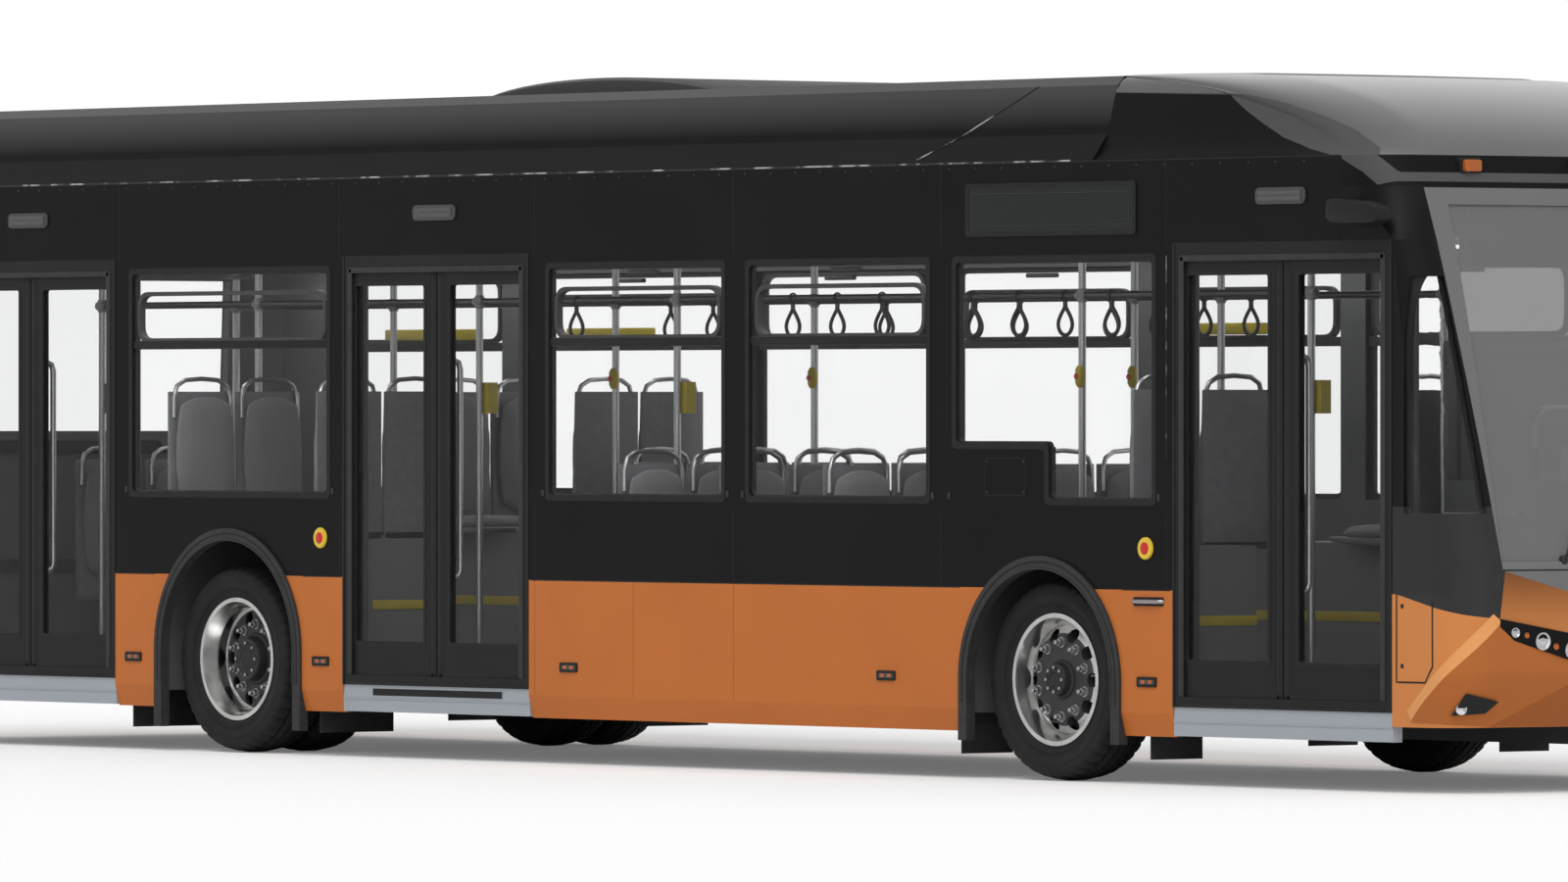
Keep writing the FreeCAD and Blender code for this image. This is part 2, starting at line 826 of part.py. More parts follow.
def door_portal(place):
    rear, front = door_edges(place)
    head = "door_head_z"
    inner = "jamb_width"
    cover = "(jamb_width + leaf_side_gap + stop_overlap)"
    body = new_body("Portal" + place.title())
    lip = [
        rect(rear, front, "sill_top_z", head),
        rect("%s + %s" % (rear, cover), "%s - %s" % (front, cover),
             "%s + stop_overlap" % LEAF_FOOT_Z, "%s - %s" % (head, cover)),
    ]
    foot = "floor_z"
    web = [
        (rear, foot), ("%s + %s" % (rear, inner), foot),
        ("%s + %s" % (rear, inner), "%s - %s" % (head, inner)),
        ("%s - %s" % (front, inner), "%s - %s" % (head, inner)),
        ("%s - %s" % (front, inner), foot), (front, foot), (front, head), (rear, head),
    ]
    pad(body, "PortalLip" + place.title(), "XZ_Plane", lip, "-%s" % HALF, "-%s + stop_lip" % HALF)
    pad(body, "PortalWeb" + place.title(), "XZ_Plane", [web], "-%s + stop_lip" % HALF, "-%s + jamb_depth" % HALF)
    return body


node(group("door_portals", [door_portal(place) for place in DOORS]))


def door_sill(place):
    rear, front = door_edges(place)
    outer = "-%s + sill_inset" % HALF
    inner = "-%s + wall_thick" % HALF
    profile = [
        (outer, "sill_top_z"), (outer, "sill_foot_z"), (inner, "sill_foot_z"), (inner, "sill_top_z"),
    ]
    body = new_body("Sill" + place.title())
    pad(body, "Sill%sPad" % place.title(), "YZ_Plane", [profile], rear, front)
    return body


node(group("door_sills", [door_sill(place) for place in DOORS]))


# Door leaves: each glides inward on two arms that turn with a post beside the jamb, one arm over
# the leaf and one under it. An arm is as long as the distance from its pin to the leaf's free
# edge, so that edge runs along the doorway.


def door_leaf(place, half):
    """One leaf, half -1 at the rear of its doorway and 1 at the front."""
    rear, front = door_edges(place)
    sign = "+" if half < 0 else "-"
    edge = "(%s %s (jamb_width + leaf_side_gap))" % (rear if half < 0 else front, sign)
    other = "(%s %s %s)" % (edge, sign, LEAF_WIDTH)
    x_low, x_high = (edge, other) if half < 0 else (other, edge)
    stiles = ("leaf_outer_stile", "leaf_inner_stile")
    low_stile, high_stile = stiles if half < 0 else stiles[::-1]
    name = "door_leaf_%s_%s" % (place, "rear" if half < 0 else "front")
    outline = rect(x_low, x_high, LEAF_FOOT_Z, LEAF_TOP_Z)
    opening = rect(
        "%s + %s" % (x_low, low_stile), "%s - %s" % (x_high, high_stile),
        "%s + leaf_foot_rail" % LEAF_FOOT_Z, "%s - leaf_top_rail" % LEAF_TOP_Z,
    )
    frame = prism(name + "_frame", "XZ_Plane", [outline, opening], LEAF_OUTER_Y, LEAF_INNER_Y)
    post = "(%s %s post_setback)" % (edge, "-" if half < 0 else "+")
    pin = "(%s %s %s)" % (post, sign, ARM_LENGTH)
    lugs = (("Low", LEAF_FOOT_Z, "%s + lug_thick" % LEAF_FOOT_Z), ("High", "%s - lug_thick" % LEAF_TOP_Z, LEAF_TOP_Z))
    for level, low, high in lugs:
        lug = rect("%s - lug_half" % pin, "%s + lug_half" % pin, LEAF_INNER_Y, "%s + lug_half" % LINK_Y)
        pad(frame, "%sLug%s" % (name, level), "XY_Plane", [lug], low, high)
        bore = [[("circle", pin, LINK_Y, "pin_radius + pin_clearance")]]
        pocket(frame, "%sBore%s" % (name, level), "XY_Plane", bore, low, high)
    pane_low = "%s + leaf_thick / 2 - glass_thick / 2" % LEAF_OUTER_Y
    pane = prism(name + "_pane", "XZ_Plane", [opening], pane_low, "%s + glass_thick" % pane_low)
    node(group(name, [frame, pane]))
    return post, pin


def door_arm(place, half, post, pin):
    """The post that turns beside the jamb, its two arms and their pins."""
    name = "door_arm_%s_%s" % (place, "rear" if half < 0 else "front")
    foot = "floor_z + seat_gap"
    items = [rod(name + "_post", "post_radius", "cove_z - seat_gap - (%s)" % foot, post, LINK_Y, foot)]
    x_low, x_high = (post, pin) if half < 0 else (pin, post)
    reach = "(arm_thick + arm_leaf_gap + lug_thick)"
    for level, base, pin_foot in (("low", ARM_LOW_Z, ARM_LOW_Z),
                                  ("high", ARM_HIGH_Z, "%s - lug_thick" % LEAF_TOP_Z)):
        y_low = "%s - arm_width / 2" % LINK_Y
        y_high = "%s + arm_width / 2" % LINK_Y
        items.append(block(
            "%s_bar_%s" % (name, level), x_low, x_high, y_low, y_high, base, "%s + arm_thick" % base))
        items.append(rod("%s_eye_%s" % (name, level), "arm_width / 2", "arm_thick", pin, LINK_Y, base))
        items.append(rod("%s_collar_%s" % (name, level), "post_collar_radius", "arm_thick", post, LINK_Y, base))
        items.append(rod("%s_pin_%s" % (name, level), "pin_radius", reach, pin, LINK_Y, pin_foot))
    node(fused(name, items))


for place in DOORS:
    for half in (-1, 1):
        door_arm(place, half, *door_leaf(place, half))


# Floor in panels that leave the wheel boxes free

WHEEL_BOXES = {"Front": FRONT_ARCH[0], "Rear": REAR_ARCH[0]}
DECK_EDGE = "(%s - wall_thick)" % HALF


def across(x_low, x_high, half_width):
    """A rectangle as a loop that runs across the bus."""
    return rect(x_low, x_high, "-%s" % half_width, half_width)


def floor_deck():
    wing_x = "(%s + floor_wing)" % FRONT_SEAM
    nose_x = "%s - floor_nose_back" % NOSE
    tail_x = "%s + floor_tail_back" % TAIL
    seams = []
    for end in ("Rear", "Front"):
        seams.append("(%s - box_half_length)" % WHEEL_BOXES[end])
        seams.append("(%s + box_half_length)" % WHEEL_BOXES[end])
    behind = ["(%s - panel_joint / 2)" % seam for seam in seams]
    ahead = ["(%s + panel_joint / 2)" % seam for seam in seams]
    tail_half = [(tail_x, "floor_tail_y"), (REAR_SEAM, DECK_EDGE), (behind[0], DECK_EDGE)]
    nose_half = [(ahead[3], DECK_EDGE), (wing_x, DECK_EDGE), (nose_x, "floor_nose_y")]
    outlines = {
        "Tail": [(x, "-%s" % y) for x, y in tail_half] + tail_half[::-1],
        "RearBridge": across(ahead[0], behind[1], "box_inner_y"),
        "Middle": across(ahead[1], behind[2], DECK_EDGE),
        "FrontBridge": across(ahead[2], behind[3], "box_inner_y"),
        "Nose": [(x, "-%s" % y) for x, y in nose_half] + nose_half[::-1],
    }
    panels = []
    for name, outline in outlines.items():
        panels.append(prism("Floor" + name, "XY_Plane", [outline], "floor_z - floor_thick", "floor_z"))
    return node(group("floor_deck", panels))


floor_deck()


# Wheel boxes: sheet housings that are open below and towards the wall

def wheel_boxes():
    low = "(floor_z - floor_thick)"
    items = []
    for end, x in WHEEL_BOXES.items():
        for side in (-1, 1):
            name = end + ("R" if side < 0 else "L")
            y_low, y_high = y_span(side, "box_inner_y", DECK_EDGE)
            shell = block("Box" + name, "%s - box_half_length" % x, "%s + box_half_length" % x,
                          y_low, y_high, low, "box_top_z")
            y_low, y_high = y_span(side, "box_inner_y + box_sheet", DECK_EDGE + " + box_sheet")
            hollow = block("BoxHollow" + name, "%s - box_half_length + box_sheet" % x,
                           "%s + box_half_length - box_sheet" % x, y_low, y_high,
                           low + " - box_sheet", "box_top_z - box_sheet")
            items.append(cut("WheelBox" + name, shell, hollow))
    return node(group("wheel_boxes", items))


wheel_boxes()


# Underfloor frame: side rails between the axles with cross members, and towing eyes

def chassis_frame():
    high = "floor_z - floor_thick"
    spans = [
        ("%s + frame_end_back" % TAIL, "%s - frame_axle_gap" % REAR_AXLE),
        ("%s + frame_axle_gap" % REAR_AXLE, "%s - frame_axle_gap" % FRONT_AXLE),
        ("%s + frame_axle_gap" % FRONT_AXLE, "%s - frame_end_back" % NOSE),
    ]
    items = []
    for index, (rear, front) in enumerate(spans):
        for side in (-1, 1):
            y_low, y_high = y_span(side, "frame_rail_y - frame_rail_width", "frame_rail_y")
            items.append(block("Rail%d%s" % (index, "R" if side < 0 else "L"), rear, front, y_low, y_high,
                               "frame_low_z", high))
        for end, x in (("Rear", rear), ("Front", "%s - frame_cross_width" % front)):
            items.append(block("Cross%d%s" % (index, end), x, "%s + frame_cross_width" % x,
                               "-frame_rail_y", "frame_rail_y", "frame_low_z", high))
    middle_rear, middle_front = spans[1]
    for index in range(1, 4):
        x = "%s + %d * ((%s) - (%s)) / 4" % (middle_rear, index, middle_front, middle_rear)
        items.append(block("CrossMiddle%d" % index, x, "%s + frame_cross_width" % x,
                           "-outrigger_y", "outrigger_y", "frame_low_z + 30", high))
    for name, x, length in (
        ("Front", "%s - frame_end_back" % NOSE, "towing_reach"),
        ("Rear", "%s + frame_end_back - towing_reach" % TAIL, "towing_reach"),
    ):
        tongue = block("Towing" + name, x, "%s + %s" % (x, length), "towing_side - towing_width / 2",
                       "towing_side + towing_width / 2", "frame_low_z + 20", "frame_low_z + 20 + towing_thick")
        hole = rod("Eye" + name, "towing_eye_radius", "towing_thick + 20", "%s + towing_reach / 2" % x,
                   "towing_side", "frame_low_z + 10")
        items.append(cut("TowingEye" + name, tongue, hole))
    return node(fused("chassis_frame", items))


chassis_frame()


# Axle beams, dropped under the low floor, with radius rods to the frame

def axle_beam(name, x, end_y, rise):
    low = "axle_low_z"
    high = "(axle_low_z + axle_beam_depth)"
    half = [
        ("axle_drop_y", low), ("(axle_drop_y + axle_slope)", "%s + %s" % (low, rise)),
        (end_y, "%s + %s" % (low, rise)), (end_y, "%s + %s" % (high, rise)),
        ("(axle_drop_y + axle_slope - axle_shift)", "%s + %s" % (high, rise)),
        ("(axle_drop_y - axle_shift)", high),
    ]
    outline = half + [("-%s" % y, z) for y, z in reversed(half)]
    return prism(name, "YZ_Plane", [outline], "%s - axle_beam_width / 2" % x, "%s + axle_beam_width / 2" % x)


WHEEL_Z = "tyre_radius"
FRONT_WHEEL_Y = "(front_track / 2)"
REAR_WHEEL_Y = "(rear_track / 2)"


def axle_node():
    beams = [
        (axle_beam("FrontBeam", FRONT_AXLE, "kingpin_y", "front_axle_rise"), FRONT_AXLE),
        (axle_beam("RearBeam", REAR_AXLE, "rear_beam_end_y", "rear_axle_rise"), REAR_AXLE),
    ]
    eye_low = "axle_low_z + front_axle_rise"
    tip = "(%s + dual_spacing / 2 + rear_disc_out - hub_end_thick - stub_end_gap)" % REAR_WHEEL_Y
    items = []
    for beam, x in beams:
        items.append(beam)
        for side in (-1, 1):
            tag = beam.Label + ("R" if side < 0 else "L")
            y = "%srod_side" % ("-" if side < 0 else "")
            items.append(rod("Rod" + tag, "rod_radius", "frame_axle_gap - axle_beam_width / 2",
                             "%s + axle_beam_width / 2" % x, y, "axle_low_z + axle_beam_depth / 2", "X"))
    for side in (-1, 1):
        tag = "R" if side < 0 else "L"
        y = "%skingpin_y" % ("-" if side < 0 else "")
        items.append(rod("BeamEye" + tag, "kingpin_eye", "axle_beam_depth", FRONT_AXLE, y, eye_low))
        items.append(rod("Kingpin" + tag, "kingpin_radius", "kingpin_high_z - (%s)" % eye_low, FRONT_AXLE, y, eye_low))
        start, end = y_span(side, "rear_stub_y", tip)
        items.append(rod("Stub" + tag, "stub_radius", "(%s) - (%s)" % (end, start), REAR_AXLE, start, WHEEL_Z, "Y"))
        start, end = y_span(side, "rear_stub_y - drum_width", "rear_stub_y")
        items.append(rod("Drum" + tag, "drum_radius", "drum_width", REAR_AXLE, start, WHEEL_Z, "Y"))
    return node(fused("axle_beams", items))


axle_node()


# Steering knuckles, each a boss on its kingpin with the wheel's stub and brake flange

def knuckle(side):
    name = "knuckle_%s" % ("right" if side < 0 else "left")
    sign = "-" if side < 0 else ""
    low = "(axle_low_z + front_axle_rise + axle_beam_depth + seat_gap)"
    boss = rod(name + "_boss", "kingpin_boss", "kingpin_high_z - kingpin_cap - %s" % low,
               FRONT_AXLE, sign + "kingpin_y", low)
    tip = "(%s + front_disc_out - hub_end_thick - stub_end_gap)" % FRONT_WHEEL_Y
    stub = rod(name + "_stub", "stub_radius", "%s - kingpin_y" % tip,
               FRONT_AXLE, "kingpin_y" if side > 0 else "-%s" % tip, WHEEL_Z, "Y")
    hub_end = "(%s + front_disc_out - front_hub_length - 6)" % FRONT_WHEEL_Y
    start = "%s - knuckle_flange_thick" % hub_end if side > 0 else "-%s" % hub_end
    flange = rod(name + "_flange", "knuckle_flange_radius", "knuckle_flange_thick", FRONT_AXLE, start, WHEEL_Z, "Y")
    bore = rod(name + "_bore", "kingpin_radius + stub_clearance", "kingpin_high_z", FRONT_AXLE, sign + "kingpin_y", "0")
    node(cut(name, fused(name + "_body", [boss, stub, flange]), bore))


knuckle(-1)
knuckle(1)


# Wheels: tyres and rims turned about the axle line

def turned(label, points, x, y, z):
    """A ring turned about a line along Y; points are (radius, distance from y along +Y)."""
    body = new_body(label)
    sketch = sketch_on(body, label + "Sketch", "XY_Plane", "0", [points])
    feature = body.newObject("PartDesign::Revolution", label + "Turn")
    feature.Profile = sketch
    feature.ReferenceAxis = (sketch, ["V_Axis"])
    feature.Angle = 360
    body.Tip = feature
    bind(body, Placement__Base__x=x, Placement__Base__y=y, Placement__Base__z=z)
    return body


def hand_holes(body, side, offset, end):
    """The ring of holes through a wheel's disc, between the hub and the rim."""
    disc = "(%s + %s_disc_out)" % (offset, end)
    low, high = y_span(side, "%s - disc_thick - %s_dish" % (disc, end), "%s + %s_dish + disc_thick" % (disc, end))
    circle = [("circle", "hand_hole_circle", "0", "hand_hole_radius")]
    hole = pocket(body, body.Label + "Hole", "XZ_Plane", [circle], low, high)
    ring = body.newObject("PartDesign::PolarPattern", body.Label + "Holes")
    ring.Originals = [hole]
    ring.Axis = (y_axis_of(body), [""])
    ring.Angle = 360
    bind(ring, Occurrences="hand_hole_count")
    body.Tip = ring
    return body


def outward(side, points):
    """Turns distances outward from the bus into distances along +Y."""
    return [(radius, "%s(%s)" % ("-" if side < 0 else "", distance)) for radius, distance in points]


def tyre_profile(offset):
    """The section of one tyre: beads, bulging sides and crowned tread."""
    half = "tyre_width / 2"
    bead = "tyre_bead_width / 2"
    middle_radius = "((tyre_radius + tyre_bead_radius) / 2)"
    tread = "(%s - tyre_shoulder)" % half
    right = [
        ("tyre_bead_radius", bead), ("tyre_bead_radius + tyre_bead_rise", bead), (middle_radius, half),
        ("tyre_radius - tyre_shoulder", half),
        ("tyre_radius - tyre_crown", tread), ("tyre_radius", "%s * tread_flat" % tread),
    ]
    left = [(radius, "-%s" % distance) for radius, distance in reversed(right)]
    return [(radius, "%s + %s" % (offset, distance)) for radius, distance in right + left]


def barrel_sides(offset):
    """The outer face of a rim's barrel, from its inner flange to its outer one."""
    edge = "(rim_width / 2)"
    seat = "tyre_bead_radius - bead_gap"
    points = [
        ("rim_flange_radius", "-%s" % edge), ("rim_flange_radius", "-%s + rim_sheet" % edge),
        (seat, "-%s + rim_sheet" % edge), ("rim_well_radius", "-%s + well_slope" % edge),
        ("rim_well_radius", "%s - well_slope" % edge), (seat, "%s - rim_sheet" % edge),
        ("rim_flange_radius", "%s - rim_sheet" % edge), ("rim_flange_radius", edge),
    ]
    inside = [
        ("tyre_bead_radius - rim_sheet", edge), ("rim_well_radius - rim_sheet", "%s - well_slope - rim_sheet" % edge),
    ]
    back = [
        ("rim_well_radius - rim_sheet", "-%s + well_slope + rim_sheet" % edge), ("tyre_bead_radius - rim_sheet", "-%s" % edge),
    ]
    return [[(r, "%s + %s" % (offset, w)) for r, w in part] for part in (points, inside, back)]


def rim_profile(offset, end):
    """A rim with its disc, hub bore and cap. end is front or rear."""
    outer, inside, back = barrel_sides(offset)
    disc = "(%s + %s_disc_out)" % (offset, end)
    face = "(%s + %s_dish)" % (disc, end)
    bore = "stub_radius + stub_clearance"
    cap = "%s_cap_radius" % end
    centre = [
        ("rim_well_radius - rim_sheet", disc), ("hub_radius + 78", face), (cap, face),
        (cap + " * 0.9", "%s + %s_cap_height" % (face, end)), ("0", "%s + %s_cap_height" % (face, end)),
        ("0", "%s - hub_end_thick" % disc), (bore, "%s - hub_end_thick" % disc),
        (bore, "%s - %s_hub_length" % (disc, end)), ("hub_radius", "%s - %s_hub_length" % (disc, end)),
        ("hub_radius", "%s - disc_thick" % disc), ("rim_well_radius - rim_sheet", "%s - disc_thick" % disc),
    ]
    return outer + inside + centre + back


def inner_rim_profile(offset):
    """The inner rim of a twin wheel, its disc joined to the outer one's hub."""
    outer, inside, back = barrel_sides(offset)
    disc = "(%s - rear_disc_out)" % offset
    middle = [
        ("rim_well_radius - rim_sheet", disc), ("hub_radius - 2", disc),
        ("hub_radius - 2", "%s - disc_thick" % disc), ("rim_well_radius - rim_sheet", "%s - disc_thick" % disc),
    ]
    return outer + inside + middle + back


def front_wheel(side):
    tag = "right" if side < 0 else "left"
    y = "%s%s" % ("-" if side < 0 else "", FRONT_WHEEL_Y)
    place = (FRONT_AXLE, y, WHEEL_Z)
    node(turned("tyre_front_" + tag, outward(side, tyre_profile("0")), *place))
    rim = turned("rim_front_" + tag, outward(side, rim_profile("0", "front")), *place)
    node(hand_holes(rim, side, "0", "front"))


def rear_wheel(side):
    tag = "right" if side < 0 else "left"
    y = "%s%s" % ("-" if side < 0 else "", REAR_WHEEL_Y)
    place = (REAR_AXLE, y, WHEEL_Z)
    outer = "dual_spacing / 2"
    inner = "-dual_spacing / 2"
    tyres = [
        turned("TyreOuter" + tag, outward(side, tyre_profile(outer)), *place),
        turned("TyreInner" + tag, outward(side, tyre_profile(inner)), *place),
    ]
    node(group("tyres_rear_" + tag, tyres))
    rims = [
        hand_holes(turned("RimOuter" + tag, outward(side, rim_profile(outer, "rear")), *place), side, outer, "rear"),
        turned("RimInner" + tag, outward(side, inner_rim_profile(inner)), *place),
    ]
    node(fused("rims_rear_" + tag, rims))


for side in (-1, 1):
    front_wheel(side)
    rear_wheel(side)


# Plan outlines of the ends of the body

def plan_outline(end, z, tip_back, side_y, corner_back, crown_y, crown, seam, inset):
    """The plan outline of an end of the body at height z, as a closed wire.

    end is 1 at the front and -1 at the rear. The tip lies tip_back behind the end of the bus,
    the corner starts corner_back behind the tip, and crown is how far the face curves back at crown_y.
    """
    tip = end * (size(NOSE) - tip_back)
    corner = tip - end * corner_back
    tip -= end * inset
    shoulder = tip - end * crown
    side = side_y - inset
    front_y = crown_y - inset
    bend_x = shoulder + (corner - shoulder) * CORNER_BEND
    bend_y = side - (side - front_y) * CORNER_BEND
    seam_x = size(seam)
    edges = [
        Part.makeLine(V(seam_x, -side, z), V(corner, -side, z)),
        Part.Arc(V(corner, -side, z), V(bend_x, -bend_y, z), V(shoulder, -front_y, z)).toShape(),
        Part.Arc(V(shoulder, -front_y, z), V(tip, 0, z), V(shoulder, front_y, z)).toShape(),
        Part.Arc(V(shoulder, front_y, z), V(bend_x, bend_y, z), V(corner, side, z)).toShape(),
        Part.makeLine(V(corner, side, z), V(seam_x, side, z)),
        Part.makeLine(V(seam_x, side, z), V(seam_x, -side, z)),
    ]
    return Part.Wire(edges)


# Roof: a slab between the walls, fairings along its edges, and units between them

ROOF_SEAM = "(%s + roof_front_seam_ahead)" % FRONT_AXLE


def fairing_profile(sign):
    """The section of one side fairing: a leaning skin with a flange along its top."""
    side = sign + HALF if sign else HALF
    waist = "%s(fairing_waist_y)" % sign
    edge = "(roof_edge_y - fairing_lip)"
    flange = "(roof_edge_y - fairing_flange)"
    return [
        (side, "rail_z"), (waist, WAIST_Z), (sign + "roof_edge_y", ROOF_Z + " - fairing_lip"),
        (sign + edge, ROOF_Z), (sign + flange, ROOF_Z),
        (sign + flange, ROOF_Z + " - fairing_thick"),
        (sign + "(roof_edge_y - fairing_thick)", ROOF_Z + " - fairing_lip - fairing_thick / 2"),
        (sign + "(fairing_waist_y - fairing_thick)", WAIST_Z),
        (sign + "(%s - wall_thick)" % HALF, "rail_z"),
    ]


def tail_cap():
    """The closed end of the roof behind the fairings."""
    levels = [
        ("rail_z", "rear_lean", HALF), (WAIST_Z, "tail_cap_waist_back", "fairing_waist_y"),
        (ROOF_Z, "tail_cap_top_back", "roof_edge_y - fairing_lip"),
    ]
    wires = [plan_outline(-1, size(z), size(back), size(y), size("rear_corner_back"), size("rear_crown_y") * size(y)
                          / size(HALF), size("rear_crown"), REAR_SEAM, 0.0) for z, back, y in levels]
    return coded("TailCap", Part.makeLoft(wires, True, True))


def roof_fairings():
    sides = [prism("Fairing" + tag, "YZ_Plane", [fairing_profile(sign)], REAR_SEAM, ROOF_SEAM)
             for tag, sign in (("Right", "-"), ("Left", ""))]
    return node(group("roof_fairings", sides + [tail_cap()]))


roof_fairings()


def roof_units():
    """Two batteries at the rear, a taller unit over the middle door and a battery ahead of it."""
    half = "unit_half_width"
    rear_end = "(%s + roof_units_back)" % REAR_SEAM
    middle_rear = "(%s - middle_unit_start)" % MIDDLE_DOOR_FRONT
    middle_front = "(%s + middle_unit_length)" % middle_rear
    spans = [
        ("BatteryRear", rear_end, "%s + rear_battery_length" % rear_end, "battery_rise"),
        ("BatteryMiddle", "(%s + rear_battery_length + unit_gap)" % rear_end, "%s - unit_gap" % middle_rear,
         "battery_rise"),
        ("MiddleUnit", middle_rear, middle_front, "unit_rise"),
        ("BatteryFront", "(%s + unit_gap)" % middle_front, "%s - front_battery_gap" % ROOF_SEAM, "battery_rise"),
    ]
    items = []
    for name, rear, front, rise in spans:
        items.append(block(name, rear, front, "-" + half, half, "rail_z", "rail_z + " + rise))
    return node(group("roof_units", items))


roof_units()


# Ends of the body: shells lofted between plan outlines at several heights

FRONT_LEVELS = {
    "bumper_low": ("bumper_low_z", FRONT_SEAM),
    "bumper_mid": ("bumper_mid_z", FRONT_SEAM),
    "bumper_top": ("bumper_top_z", FRONT_SEAM),
    "screen_low": ("screen_low_z", FRONT_SEAM),
    "screen_mid": ("screen_mid_z", FRONT_SEAM),
    "screen_high": ("door_head_z", FRONT_SEAM),
    "header": ("door_head_z", WALL_END),
    "screen_top": ("screen_top_z", WALL_END),
    "brow": ("rail_z", WALL_END),
}


def front_outline(level, inset=0.0):
    """The plan outline of the front at one of its levels. The header starts where the pillars end."""
    z, seam = FRONT_LEVELS[level]
    name = "screen_high" if level == "header" else level
    return plan_outline(1, size(z), size(name + "_back"), size(HALF), size(name + "_corner"),
                        size("front_crown_y"), size("front_crown"), seam, inset)


def end_shell(outline, levels, thick, ruled):
    outer = Part.makeLoft([outline(level) for level in levels], True, ruled)
    inner = Part.makeLoft([outline(level, thick) for level in levels], True, ruled)
    return outer.cut(inner)


def box_between(x_low, x_high, y_low, y_high, z_low, z_high):
    return Part.makeBox(x_high - x_low, y_high - y_low, z_high - z_low, V(x_low, y_low, z_low))


def prism_along(points, axis, low, high):
    """A solid between low and high along X or Y from an outline in the other two axes."""
    if axis == "X":
        corners = [V(low, a, b) for a, b in points]
        path = V(high - low, 0, 0)
    else:
        corners = [V(a, low, b) for a, b in points]
        path = V(0, high - low, 0)
    return Part.Face(Part.makePolygon(corners + corners[:1])).extrude(path)


# Lamps set into the ends of the body

def lamp_openings(axis_low, axis_high, low_z, high_z, inner_y, outer_y):
    boxes = []
    for side in (-1, 1):
        y_low, y_high = sorted((side * size(inner_y), side * size(outer_y)))
        boxes.append(box_between(axis_low, axis_high, y_low, y_high, size(low_z), size(high_z)))
    return boxes


def roof_shell():
    """The roof slab with its coved ceiling, and a shelf each side inside the head of the front."""
    inner = "(%s - wall_thick)" % HALF
    half = [
        (inner, "rail_z"), (inner, "cove_z"), ("(%s - cove_width)" % inner, "cove_z"),
        ("(%s - cove_width - cove_run)" % inner, "ceiling_z"),
    ]
    outline = half + [("-%s" % y, z) for y, z in reversed(half)]
    slab = prism("RoofSlab", "YZ_Plane", [outline], REAR_SEAM, WALL_END)
    thick = size("front_shell_thick")
    hollow = Part.makeLoft([front_outline("header", thick), front_outline("screen_top", thick)], True, False)
    shelves = []
    for name, side in (("ShelfRight", -1), ("ShelfLeft", 1)):
        y_low, y_high = sorted((side * size("shelf_y"), side * size(HALF)))
        box = box_between(size(WALL_END), size(FRONT_SEAM) + size("floor_wing"), y_low, y_high,
                          size("cove_z"), size("cove_z + shelf_thick"))
        shelves.append(coded(name, hollow.common(box)))
    return node(fused("roof_shell", [slab] + shelves))


roof_shell()


def lamp_skin(outline):
    """The same outline, set back by the depth of a lamp's lens."""
    return lambda level, inset=0.0: outline(level, inset + size("lamp_inset"))


def windscreen_opening():
    low_y = size("screen_glass_low_y")
    high_y = size("screen_glass_high_y")
    low_z = size("screen_glass_low_z")
    high_z = size("screen_glass_high_z")
    points = [(-low_y, low_z), (low_y, low_z), (high_y, high_z), (-high_y, high_z)]
    return prism_along(points, "X", size(FRONT_SEAM), size("%s + quarter_reach" % NOSE))


def quarter_openings():
    seam = size(FRONT_SEAM)
    rear = seam + size("quarter_rear")
    points = [
        (rear, size("quarter_low_z")), (seam + size("quarter_low_front"), size("quarter_low_z")),
        (seam + size("quarter_high_front"), size("quarter_high_z")), (rear, size("quarter_high_z")),
    ]
    outer = size("%s + quarter_reach" % HALF)
    inner = size("quarter_inner_y")
    return [prism_along(points, "Y", -outer, -inner), prism_along(points, "Y", inner, outer)]


def front_layer(inset, thick):
    """The front above the belt between two insets: pillars, and the header over the doors."""
    pillars = ["screen_low", "screen_mid", "screen_high"]
    header = ["header", "screen_top"]
    layers = []
    for levels in (pillars, header):
        outer = Part.makeLoft([front_outline(level, inset) for level in levels], True, False)
        inner = Part.makeLoft([front_outline(level, inset + thick) for level in levels], True, False)
        layers.append(outer.cut(inner))
    return layers[0].fuse(layers[1])


def front_end():
    """The front panel, the frame over it and its glass, and the headlamps."""
    thick = size("front_shell_thick")
    levels = ["bumper_low", "bumper_mid", "bumper_top", "screen_low"]
    low = end_shell(front_outline, levels, thick, True)
    half = size("%s + quarter_reach" % HALF)
    seam = size(FRONT_SEAM)
    nose = size("%s + quarter_reach" % NOSE)
    over = box_between(seam, seam + size("side_panel_length"), -half, half, size("belt_z"), size("screen_low_z"))
    panel = low.cut(over)
    skin = end_shell(lamp_skin(front_outline), levels, size("lamp_thick"), True)
    lamps = []
    for opening in lamp_openings(seam, nose, "lamp_low_z", "lamp_high_z", "lamp_inner_y", "lamp_outer_y"):
        panel = panel.cut(opening)
        lamps.append(skin.common(opening))
    node(coded("front_panel", panel))
    openings = [windscreen_opening()] + quarter_openings()
    frame = front_layer(0.0, thick).fuse(low.common(over))
    for opening in openings:
        frame = frame.cut(opening)
    node(coded("front_frame", frame.removeSplitter()))
    glass = front_layer(size("glass_inset"), size("windscreen_thick"))
    node(coded("windscreen", glass.common(openings[0])))
    corner = coded("CornerGlass", Part.makeCompound([glass.common(opening) for opening in openings[1:]]))
    return corner, coded("HeadLamps", Part.makeCompound(lamps))


corner_glass, head_lamps = front_end()


DOME_BANDS = 8   # how many straight bands the rounded front of the roof is made of


def through(values, share):
    """The value at a share of the way along an even curve through the given values."""
    total = 0.0
    last = len(values) - 1
    for index, value in enumerate(values):
        weight = 1.0
        for other in range(len(values)):
            if other != index:
                weight *= (share * last - other) / (index - other)
        total += weight * value
    return total


